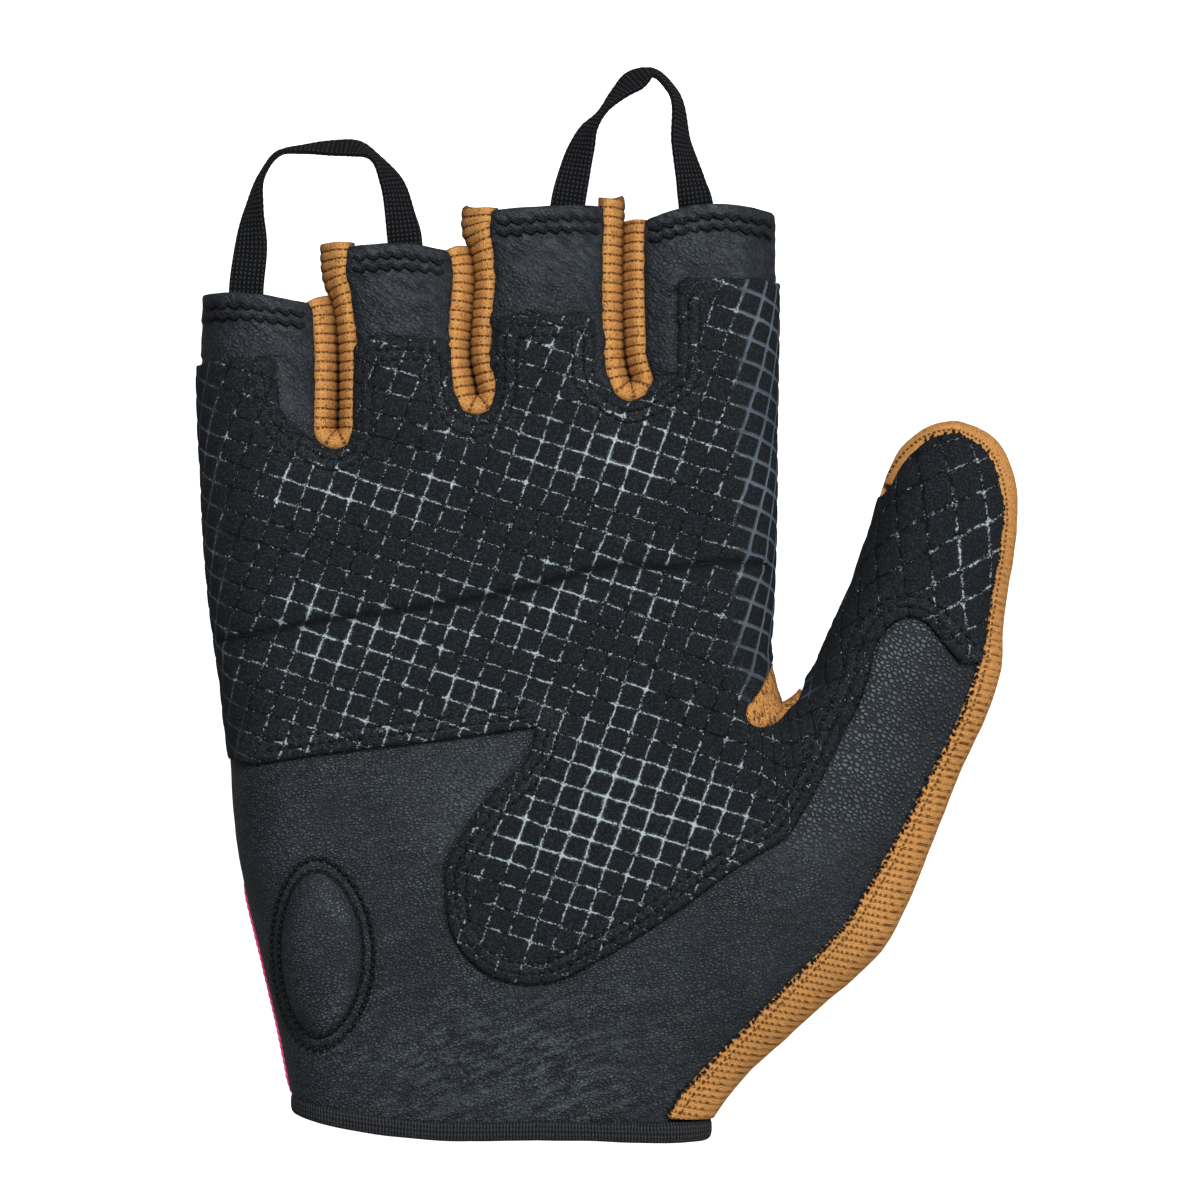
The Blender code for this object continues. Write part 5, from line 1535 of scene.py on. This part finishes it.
class GLOVE_OT_fourchettes(bpy.types.Operator):
    """Builds the ribbed knit between the fingers"""

    bl_idname = "glove.fourchettes"
    bl_label = "Fourchettes"

    def execute(self, context):
        look = settings(context, "knit")
        for k, name in enumerate(("pinky_ring", "ring_middle", "middle_index")):
            self.build(look, k, "fourchette_" + name, np.array(FOURCHETTE_TOPS[k]) * MM)
        return {"FINISHED"}

    def build(self, look, k, name, proud):
        """A section carried along the slot's edge: it starts under the leather, rolls up proud of it, turns
        down into the slot, and goes on under the back; each rib swells it a little."""
        places, turns = slot_stations(k, proud)
        line, places, turns = carried(places + turns * 1.6 * MM, 0.26 * MM * COARSE, places, turns)
        run = lengths_along(line)
        turns = unit(turns)
        share, roll, under = (np.array(FOURCHETTE_SECTION[part]) for part in ("share", "roll", "under"))
        roll = roll * MM
        reach = np.r_[share, under] * FOURCHETTE_REACH + SLOT_GAP / 2
        across = len(reach)
        wider = 1 + flare(k, places, turns)[:, None, None] / FOURCHETTE_REACH
        plan = (places[:, None] + turns[:, None] * reach[None, :, None] * wider).reshape(-1, 2)
        over = np.tile(np.arange(across) < len(share), len(places))
        points, normals = np.empty((len(plan), 3)), np.empty((len(plan), 3))
        points[over], normals[over] = surface(plan[over], lambda p: palm_side(p, SEAM_HEIGHT))
        points[~over], normals[~over] = surface(plan[~over], lambda p: back_side(p, SEAM_HEIGHT))
        normals[~over] *= -1
        closer = np.r_[np.clip(1 - share / 0.45, 0, 1) * 0.43, np.linspace(0.6, 0.0, len(under))] * MM
        points[:, :2] -= (turns[:, None] * closer[None, :, None]).reshape(-1, 2)
        rib = run / look.rib
        swell = np.abs(np.sin(math.pi * rib)) ** 0.6
        profile = np.r_[roll, np.zeros(len(under))]
        profile = profile[None] * (1 + 0.12 * noise_along(run, 4 * MM, 50 + k))[:, None]
        fade = np.r_[0, 0.3, 1, np.ones(across - 3)]
        lift = (profile + 0.24 * MM * (swell[:, None] - 0.55) * fade).ravel()
        outer = points + normals * lift[:, None]
        wall = np.r_[0.5, 0.7, 0.9, np.ones(across - 5), 0.9, 0.4] * 0.9 * MM
        inner = outer - normals * np.tile(wall, len(places))[:, None]
        net = np.concatenate([outer.reshape(-1, across, 3), inner.reshape(-1, across, 3)[:, ::-1]], axis=1)
        wide = 2 * across
        faces = tube_faces(len(places), wide)
        u = np.repeat(rib, wide)
        girth = lengths_along(outer.reshape(-1, across, 3)[len(places) // 2])
        v = np.tile(np.r_[girth, girth[::-1]] / (0.95 * MM), len(places))
        low = 1 - 0.5 * step_up(places[:, 1], hand_height(1.25), hand_height(1.6))
        # Painted shadow: near black down the slot's middle, fainter towards the rims, and a dark line where the knit
        # goes under the leather.
        deep = low[:, None] * (1 - step_up(share, 0.05, 0.24)) + 0.7 * step_up(share, 0.97, 1.08)
        deep = np.hstack([deep, np.zeros((len(places), wide - len(share)))]).ravel().clip(0, 1)
        make_piece(
            name + "_dressed", net.reshape(-1, 3), faces[:, ::-1], finish_of("knit", knit_finish, look), [name],
            "knit", uv=np.column_stack([u, v]), values={"deep": deep},
        )


class GLOVE_OT_gusset(bpy.types.Operator):
    """Builds the knit gusset in the notch between palm and thumb"""

    bl_idname = "glove.gusset"
    bl_label = "Thumb gusset"

    def execute(self, context):
        """Each face is ruled between the gusset's border and the glove's sides at the notch. The palm's face
        goes on round the sides into the back's."""
        look = settings(context, "knit")
        edge = gusset_edge(0.0)
        sides = np.vstack([
            cut(Sides.index, -math.inf, edge[0, 1]), cut(Sides.thumb_inner, -math.inf, edge[-1, 1])[1:],
        ])
        count = 64
        marks = np.linspace(0.02, 0.93, count)
        runs = [lengths_along(line) for line in (edge, sides)]
        a, b = (at_lengths(line, marks * run[-1], run) for line, run in zip((edge, sides), runs))
        share = np.sin(np.linspace(0, math.pi / 2, 12))[:, None]
        plan = a[:, None] * (1 - share) + b[:, None] * share
        puff = 0.45 * MM * np.sin(math.pi * np.clip(share[:, 0], 0, 1)) ** 0.7
        faces = []
        for lift, way in ((lambda p: palm_side(p, SEAM_HEIGHT), 1), (lambda p: back_side(p, SEAM_HEIGHT), -1)):
            points, normals = surface(plan.reshape(-1, 2), lift)
            normals *= way
            bump = np.tile(puff, count) + 0.08 * MM * noise(plan.reshape(-1, 2), 0.9 * MM, 21)
            faces.append((points + normals * bump[:, None], normals))
        shape = (count, len(share), 3)
        outer = np.concatenate([faces[0][0].reshape(shape), faces[1][0].reshape(shape)[:, -2::-1]], axis=1)
        ways = np.concatenate([faces[0][1].reshape(shape), faces[1][1].reshape(shape)[:, -2::-1]], axis=1)
        inner = outer - ways * 0.8 * MM
        net = np.concatenate([outer, inner[:, ::-1]], axis=1)
        wide = net.shape[1]
        quads = tube_faces(count, wide)
        flat = net.reshape(-1, 3)
        uv = np.column_stack([flat[:, 0] + flat[:, 1] * 0.3, flat[:, 1] - flat[:, 0] * 0.3]) / (1.3 * MM, 0.7 * MM)
        soft = finish_of("knit_plain", lambda look: knit_finish(look, "knit_plain", "plain"), look)
        make_piece("thumb_gusset_dressed", flat, quads[:, ::-1], soft, ["thumb_gusset"], "knit", uv=uv)
        return {"FINISHED"}


class GLOVE_OT_back(bpy.types.Operator):
    """Builds the knit back and the band that comes round the thumb's outer side"""

    bl_idname = "glove.back"
    bl_label = "Knit back"

    def execute(self, context):
        look = settings(context, "knit")
        net, quads = glove_net(look.net * COARSE, BACK_ROUND, 1.0)
        plan, quads = trim(net, quads, back_outline())
        base, normals = surface(plan, back_side)
        lift = 0.1 * MM * noise(plan, 5 * MM, 13) * step_up(base[:, 2], 0.2 * MM, 1.5 * MM)
        lift -= 0.3 * MM * bell(distance(plan, Sides.pinky), 1.5 * MM)
        points, faces, origin = closed_sheet(base, -normals, quads[:, ::-1], -KNIT_WALL, lift)
        finish = finish_of("knit", knit_finish, look)
        uv = unrolled(plan, BACK_ROUND) @ np.array([[0.0, 1.0], [1.0, 0.0]]) / (1.6 * look.band_row, 1.05 * MM)
        make_piece("back_knit", points, faces, finish, ["back_fabric"], "knit", uv=uv[origin])
        self.band(look)
        return {"FINISHED"}

    def band(self, look):
        """The band is ruled from its seam on the palm side to the thumb's outer side, then carried on round
        it over the back's rounding until it sinks into the back."""
        seam = seam_line(BAND_LAP)
        start = band_start()
        side = np.vstack([start, Sides.thumb_outer[1:]])
        side, seam = (eased(line)[2:-1] for line in carried(side, 0.5 * MM * COARSE, seam))
        _, place, outside = nearest(side, THUMB_SIDE)
        side[outside] = place[outside]
        run = lengths_along(side)
        share = np.r_[-0.06, np.sin(np.linspace(0, math.pi / 2, 14))][:, None]
        under = np.linspace(0, 4.4 * MM, 10)[1:, None]
        palm = seam[:, None] * (1 - share) + side[:, None] * share
        back = side[:, None] - left_normals(side)[:, None] * under
        palm_points, palm_ways = surface(palm.reshape(-1, 2), lambda p: palm_side(p, SEAM_HEIGHT))
        back_points, back_ways = surface(back.reshape(-1, 2), lambda p: back_side(p, SEAM_HEIGHT))
        count = len(side)
        points = np.concatenate([palm_points.reshape(count, -1, 3), back_points.reshape(count, -1, 3)], axis=1)
        ways = np.concatenate([palm_ways.reshape(count, -1, 3), -back_ways.reshape(count, -1, 3)], axis=1)
        raised = np.r_[-0.5, 0.25, np.full(len(share) - 2, 0.42), np.linspace(0.42, -0.45, len(under))] * MM
        points = points + ways * raised[None, :, None] * step_up(run, -1 * MM, 7 * MM)[:, None, None]
        points += ways * (0.08 * MM * noise(points.reshape(-1, 3)[:, :2], 2.5 * MM, 14)).reshape(count, -1, 1)
        inner = points - ways * 0.7 * MM
        net = np.concatenate([points, inner[:, ::-1]], axis=1)
        wide = net.shape[1]
        faces = tube_faces(count, wide)
        flat = net.reshape(-1, 3)
        u = (flat[:, 1] + 0.26 * flat[:, 0]) / look.band_row
        v = (flat[:, 0] - 0.26 * flat[:, 1] + 0.8 * flat[:, 2]) / (0.56 * MM)
        strength = np.repeat(step_up(run / run[-1], 0.1, 0.5), wide) * (0.25 + 0.75 * np.tile(np.r_[
            1 - step_up(np.linspace(0, 1, points.shape[1]), 0.35, 0.62), np.zeros(points.shape[1])], count))
        finish = finish_of("knit_band", lambda look: knit_finish(look, "knit_band", "rows"), look)
        make_piece(
            "thumb_band", flat, faces, finish, ["back_fabric"], "knit", uv=np.column_stack([u, v]),
            values={
                "rows": strength, "from_seam": distance(flat[:, :2], seam) / MM,
                "along_seam": np.repeat(run / (0.95 * MM), wide),
            },
        )


class GLOVE_OT_binding(bpy.types.Operator):
    """Builds the rolled rib band round the wrist"""

    bl_idname = "glove.binding"
    bl_label = "Wrist binding"

    def execute(self, context):
        """A flattened ring section with soft creases is carried round the mouth: along the palm side's edge,
        and back along the back's."""
        look = settings(context, "trim")
        left, right = Sides.pinky[0], Sides.thumb_outer[-1]
        spread = (1 - np.cos(np.linspace(0, math.pi, 60))) / 2
        loops = []
        for face, drop in ((palm_side, 0.0), (back_side, BACK_DROP)):
            edge = wrist_line(drop)
            x = left[0] + spread * (right[0] - left[0])
            plan = np.column_stack([x, np.interp(x, edge[:, 0], edge[:, 1])])
            heights = face(plan, SEAM_HEIGHT)
            plan[:, 1] -= OVERLAY_GAP + 0.4 * BINDING_HEIGHT
            loops.append(np.column_stack([plan, heights]))
        path = np.vstack([loops[0], loops[1][::-1][1:-1], loops[0][:1]])
        path = spaced(path, 0.6 * MM * COARSE)[:-1]
        run = np.roll(path, -1, axis=0) - np.roll(path, 1, axis=0)
        outward = unit(np.column_stack([-run[:, 2], np.zeros(len(run)), run[:, 0]]))
        length = lengths_along(path)
        centre = path - outward * BINDING_WALL / 2
        angle = round_angles(28)
        squared = (np.abs(np.cos(angle)) ** 3 + np.abs(np.sin(angle)) ** 3) ** (-1 / 3)
        wave = 1 + 0.05 * noise_along(length, 6 * MM, 15)[:, None]
        ribs = 1 + 0.03 * np.sin(2 * math.pi * length / look.rib)[:, None]
        out = (squared * np.cos(angle))[None] * wave * ribs * BINDING_WALL * 0.56
        along = (squared * np.sin(angle))[None] * wave * BINDING_HEIGHT * 0.63
        points = centre[:, None] + outward[:, None] * out[..., None] + np.array([0.0, 1.0, 0.0]) * along[..., None]
        faces = strip_faces(len(path), len(angle), closed_rows=True, closed_columns=True)
        ribs_run = np.repeat(length / look.rib, len(angle))
        turns = np.tile(angle / (2 * math.pi) * 16, len(path))
        make_piece(
            "wrist_binding_dressed", points.reshape(-1, 3), faces, finish_of("binding", ribbed_finish, look),
            ["wrist_binding"], "binding", uv=np.column_stack([ribs_run, turns]),
        )
        return {"FINISHED"}


class GLOVE_OT_pull_loops(bpy.types.Operator):
    """Builds the two woven pull loops"""

    bl_idname = "glove.pull_loops"
    bl_label = "Pull loops"

    def execute(self, context):
        for table in LOOPS:
            self.build(settings(context, "trim"), table)
        return {"FINISHED"}

    def build(self, look, table):
        """A flat section with round edges, and a low ridge for each warp, is carried along the arch and
        turned on its edge as the table says."""
        feet = np.column_stack([
            np.array([foot[0] for foot in table["feet"]]) * PALM_WIDTH,
            hand_height([foot[1] for foot in table["feet"]]),
        ])
        along = np.array(table["along"])[:, None]
        rise = np.array(table["rise"])
        arch = feet[0] + along * (feet[1] - feet[0])
        arch[:, 1] += rise * LOOP_RISE
        tucks = [foot - (0, LOOP_TUCK) for foot in feet]
        middles = [foot - (0, LOOP_TUCK / 2) for foot in feet]
        plan = np.vstack([tucks[0], middles[0], arch, middles[1], tucks[1]])
        turn = np.radians(np.r_[0, 0, table["turn"], 0, 0])
        edges = [plan + (side * WEBBING_WIDTH / 2, 0.0) for side in (-1, 0, 1)]
        leather = np.min([palm_side(edge, SEAM_HEIGHT) for edge in edges], axis=0)
        under = leather - LEATHER_WALL - 2 * GAP - WEBBING_THICK / 2
        ends = np.array([0, 1, 2, len(plan) - 3, len(plan) - 2, len(plan) - 1])
        heights = np.interp(lengths_along(plan), lengths_along(plan)[ends], under[ends])
        heights[2:-2] -= LOOP_DROOP * rise
        fine = smooth(np.column_stack([plan, heights, turn * WEBBING_WIDTH]), 0.3 * MM * COARSE)
        path, turn = fine[:, :3], fine[:, 3] / WEBBING_WIDTH
        run = frames_along(path)
        flat = unit(np.cross(run, (0.0, 0.0, 1.0)))
        upright = np.cross(flat, run)
        wide = flat * np.cos(turn)[:, None] + upright * np.sin(turn)[:, None]
        thick = np.cross(run, wide)
        share = np.linspace(-1, 1, 4 * look.warps + 1)
        ridge = 0.09 * MM * np.abs(np.sin((share + 1) / 2 * look.warps * math.pi))
        edge = WEBBING_THICK / 2 * (1 - np.abs(share) ** 7) ** 0.5 - 0.05 * MM * (np.abs(share) < 1) + ridge
        x = np.r_[share, share[-2:0:-1]] * WEBBING_WIDTH / 2
        y = np.r_[edge, -edge[-2:0:-1]]
        length = lengths_along(path)
        beat = np.tile(np.r_[share, share[-2:0:-1]] * look.warps, (len(path), 1))
        weave = 0.04 * MM * np.sin(2 * math.pi * length[:, None] / (1.1 * MM) + math.pi * np.floor(beat))
        y = y[None] + weave * np.sign(y)[None]
        points = path[:, None] + wide[:, None] * x[None, :, None] + thick[:, None] * y[..., None]
        around = len(x)
        faces = tube_faces(len(path), around)
        u = np.tile((np.r_[share, share[-2:0:-1]] + 1) / 2 * look.warps, len(path))
        v = np.repeat(length / (0.78 * MM), around)
        make_piece(
            table["name"] + "_dressed", points.reshape(-1, 3), faces[:, ::-1],
            finish_of("webbing", webbing_finish, look), [table["name"]], "webbing", uv=np.column_stack([u, v]),
        )


class GLOVE_OT_heel_pad(bpy.types.Operator):
    """Builds the padded oval on the heel of the palm"""

    bl_idname = "glove.heel_pad"
    bl_label = "Heel pad"

    def execute(self, context):
        """Rings shrink from the pad's border to its middle. The rise is a crowned share, with shallow
        dimples pulled in from the stitches at the border."""
        look = settings(context, "leather")
        share = np.r_[1.0, 1.03, 1.02, np.cos(np.linspace(0.12, math.pi / 2, 26))[:-1], 0.012]
        around = 128
        ring = pad_ring(*PAD_RINGS[0], around)[:-1]
        middle = pad_middle()
        plan = (middle + share[:, None, None] * (ring - middle)[None]).reshape(-1, 2)
        level_up = np.clip(1 - np.clip(share, 0, 1) ** 3.4, 0, 1) ** 0.62
        rise = np.repeat(level_up * PAD_HEIGHT, around)
        rise[: 3 * around] = np.repeat([0.05 * MM, 0.15 * MM, 0.4 * MM], around)
        angle = np.tile(np.arange(around) / around * 2 * math.pi, len(share))
        pull = np.repeat(np.exp(-(((np.clip(share, 0, 1) - 0.9) / 0.09) ** 2)), around)
        uneven = 0.05 * MM * noise(plan, 2.4 * MM, 16) * np.repeat(share < 1, around)
        rise += 0.07 * MM * pull * np.sin(26 * angle) + uneven
        # Puckers to the upper and lower right, which also get painted highlights
        puckers_and_sheen = bell(angle - 1.05, 0.55) + bell(angle - 5.35, 0.5)
        puckers_and_sheen *= np.repeat(bell(np.clip(share, 0, 1) - 0.8, 0.17), around)
        rise += 0.3 * MM * puckers_and_sheen * noise(plan @ FOLD_TURN * (1.0, 0.5), 1.1 * MM, 18)
        base = palm_side(plan)
        top = np.column_stack([plan, base + OVERLAY_GAP + rise])
        flat = np.column_stack([plan, base + OVERLAY_GAP])[-around:]
        low_share = np.array([0.6, 0.98])
        low_plan = (middle + low_share[:, None, None] * (ring - middle)[None]).reshape(-1, 2)
        low = np.column_stack([low_plan, palm_side(low_plan) + OVERLAY_GAP])
        net = np.vstack([flat, low, top])
        faces = tube_faces(len(net) // around, around)
        # Painted light: the lit number leaves the pad's shoulder in painted shade and gives painted highlights on the
        # puckers.
        lit = 0.24 + 0.3 * np.repeat(np.r_[0, 0, 0, 1 - bell(share - 0.86, 0.16)], around)
        lit += 1.1 * np.r_[np.zeros(3 * around), puckers_and_sheen]
        piece = make_piece(
            "heel_pad_dressed", net, faces, finish_of("leather", leather_finish, look), ["heel_pad"], "pad",
            values={
                "coarse": lit * 0, "lit": lit, "wrinkle": lit * 0, "finger": lit * 0,
                # Painted shadow along the pad's stitched border
                "sewn": np.repeat(np.r_[0, 0, 0, share > 0.985], around),
            },
        )
        return {"FINISHED"}


class GLOVE_OT_piping(bpy.types.Operator):
    """Builds the thin bright piping on the pinky side"""

    bl_idname = "glove.piping"
    bl_label = "Side piping"

    def execute(self, context):
        """A flattened round section along the side's seam, swollen at every stitch."""
        line = cut(Sides.pinky, hand_height(PIPING_SPAN[0]), hand_height(PIPING_SPAN[1]))
        line = spaced(line, 0.22 * MM * COARSE)
        run = lengths_along(line)
        out = left_normals(line)
        angle = round_angles(12)
        swell = 1 + 0.16 * np.sin(2 * math.pi * run / (1.3 * MM)) + 0.1 * noise_along(run, 2 * MM, 17)
        taper = np.clip(np.minimum(run, run[-1] - run) / (2.5 * MM), 0.05, 1) ** 0.6
        side = 0.35 * PIPING_WIDTH + np.cos(angle)[None] * (swell * taper)[:, None] * PIPING_WIDTH / 2
        high = SEAM_HEIGHT + np.sin(angle)[None] * (swell * taper)[:, None] * PIPING_HEIGHT / 2
        plan = line[:, None] + out[:, None] * side[..., None]
        points = np.concatenate([plan, high[..., None]], axis=2)
        faces = tube_faces(len(line), len(angle))
        finish = finish_of("piping", piping_finish, settings(context, "knit"))
        make_piece("side_piping_dressed", points.reshape(-1, 3), faces, finish, ["side_piping"], "piping")
        return {"FINISHED"}


class GLOVE_OT_stitches(bpy.types.Operator):
    """Sews the rows of stitches"""

    bl_idname = "glove.stitches"
    bl_label = "Stitches"

    def execute(self, context):
        look = settings(context, "thread")
        finish = finish_of("thread", thread_finish, look)
        top = OVERLAY_GAP + GRIP_WALL
        rings = [pad_ring(wide + 0.3 * MM, long + 0.3 * MM) for wide, long in PAD_RINGS]
        groups = (
            ("grip_stitches", grip_rows(), top + 0.04 * MM, 12.0, 1.15, look.length, "grip"),
            ("pad_stitches", rings, 0.46 * MM, 26.0, 1.55, look.pad_length, "leather"),
        )
        for name, lines, lift, slant, girth, length, slot in groups:
            parts = [stitch_row(line, length, lift) for line in lines]
            centres, ways, ups = (np.vstack(columns) for columns in zip(*parts))
            points, faces = stitches(centres, ways, ups, length * 0.95, look.width * girth, (0.0, slant))
            make_piece(name, points, faces, finish, slot=slot)
        rims = [zigzag(row, look.rim_length, 0.4 * MM, 0.4 * MM) for row in rim_rows()]
        make_piece("rim_stitches", *threads(rims, 1.4 * look.width), finish, slot="leather")
        crease = zigzag(ends_off(CREASE, 1.5 * MM, 3.0 * MM), 1.4 * look.length, 0.06 * MM, top + 0.2 * CREASE_DEPTH)
        make_piece("crease_stitches", *threads([crease], 0.8 * look.width), finish, slot="grip")
        seam = seam_line(BAND_LAP)
        seam = seam[np.argmax(seam[:, 1]) - 2:]
        seam, way = (line[:-2] for line in carried(seam, 0.62 * MM, left_normals(seam)))
        draw = np.random.default_rng(41)
        seam = seam + draw.normal(0, 0.16 * MM, seam.shape)
        points, normals = surface(seam, palm_side)
        angle = draw.uniform(-1.0, 1.0, len(seam))
        turned = np.cos(angle), np.sin(angle)
        ways = laid(np.column_stack([
            way[:, 0] * turned[0] - way[:, 1] * turned[1], way[:, 0] * turned[1] + way[:, 1] * turned[0],
        ]), normals)
        over = step_up(seam[:, 1], *thumb_height([1.145, 1.17]))[:, None]
        points, faces = stitches(points + normals * (0.42 + 0.5 * over) * MM, ways, normals, 0.85 * MM, 0.46 * MM)
        make_piece("band_stitches", points, faces, finish, slot="knit")
        return {"FINISHED"}


class GLOVE_OT_stage(bpy.types.Operator):
    """Lays the floor and sets the lights and the camera"""

    bl_idname = "glove.stage"
    bl_label = "Stage"

    def execute(self, context):
        look = settings(context, "stage")
        scene = context.scene
        mesh = bpy.data.meshes.new("floor")
        corners = [(x * FLOOR_REACH, y * FLOOR_REACH, 0) for x, y in ((-1, -1), (1, -1), (1, 1), (-1, 1))]
        mesh.from_pydata(corners, [], [(0, 1, 2, 3)])
        mesh.materials.append(floor_finish(look))
        floor = bpy.data.objects.new("floor", mesh)
        scene.collection.objects.link(floor)
        floor.visible_diffuse = floor.visible_glossy = False
        data = bpy.data.cameras.new("camera")
        data.lens, data.sensor_width = look.lens, SENSOR_WIDTH
        camera = bpy.data.objects.new("camera", data)
        x, y, middle = VIEW_MIDDLE
        camera.location = (x, y, middle + look.field * look.lens / data.sensor_width)
        scene.collection.objects.link(camera)
        scene.camera = camera
        for table in LIGHTS:
            light = bpy.data.lights.new(table["name"], "AREA")
            light.energy, light.size = look.key * table["power"], table["size"]
            lamp = bpy.data.objects.new(table["name"], light)
            lamp.location = table["place"]
            lamp.rotation_euler = (-Vector(table["place"])).to_track_quat("-Z", "Y").to_euler()
            scene.collection.objects.link(lamp)
        world = bpy.data.worlds.new("studio")
        world.use_nodes = True
        background = world.node_tree.nodes["Background"]
        background.inputs["Color"].default_value = (1.0, 1.0, 1.0, 1.0)
        background.inputs["Strength"].default_value = look.light
        scene.world = world
        scene.view_settings.view_transform = "Standard"
        return {"FINISHED"}


class GLOVE_PT_panel(bpy.types.Panel):
    """Lists the glove's operators and settings"""

    bl_idname = "GLOVE_PT_panel"
    bl_label = "Wheelchair glove"
    bl_space_type = "VIEW_3D"
    bl_region_type = "UI"
    bl_category = "Glove"

    def draw(self, context):
        for operator in OPERATORS:
            self.layout.operator(operator.bl_idname)
        for part, group in LOOKS.items():
            box = self.layout.box()
            box.label(text=part.capitalize())
            for name in group.__annotations__:
                box.prop(settings(context, part), name)


LOOKS = {
    "stage": GloveStageLook, "leather": GloveLeatherLook, "grip": GloveGripLook, "knit": GloveKnitLook,
    "trim": GloveTrimLook, "thread": GloveThreadLook,
}
OPERATORS = (
    GLOVE_OT_stage, GLOVE_OT_leather, GLOVE_OT_grip, GLOVE_OT_fourchettes, GLOVE_OT_gusset, GLOVE_OT_back,
    GLOVE_OT_binding, GLOVE_OT_pull_loops, GLOVE_OT_heel_pad, GLOVE_OT_piping, GLOVE_OT_stitches,
)


def register():
    for shown in (*LOOKS.values(), *OPERATORS, GLOVE_PT_panel):
        bpy.utils.register_class(shown)
    for part, group in LOOKS.items():
        setattr(bpy.types.Scene, "glove_" + part, PointerProperty(type=group))


def unregister():
    for part in LOOKS:
        delattr(bpy.types.Scene, "glove_" + part)
    for shown in reversed((*LOOKS.values(), *OPERATORS, GLOVE_PT_panel)):
        bpy.utils.unregister_class(shown)


def main():
    register()
    for operator in OPERATORS:
        group, name = operator.bl_idname.split(".")
        getattr(getattr(bpy.ops, group), name)()


if __name__ == "__main__":
    main()
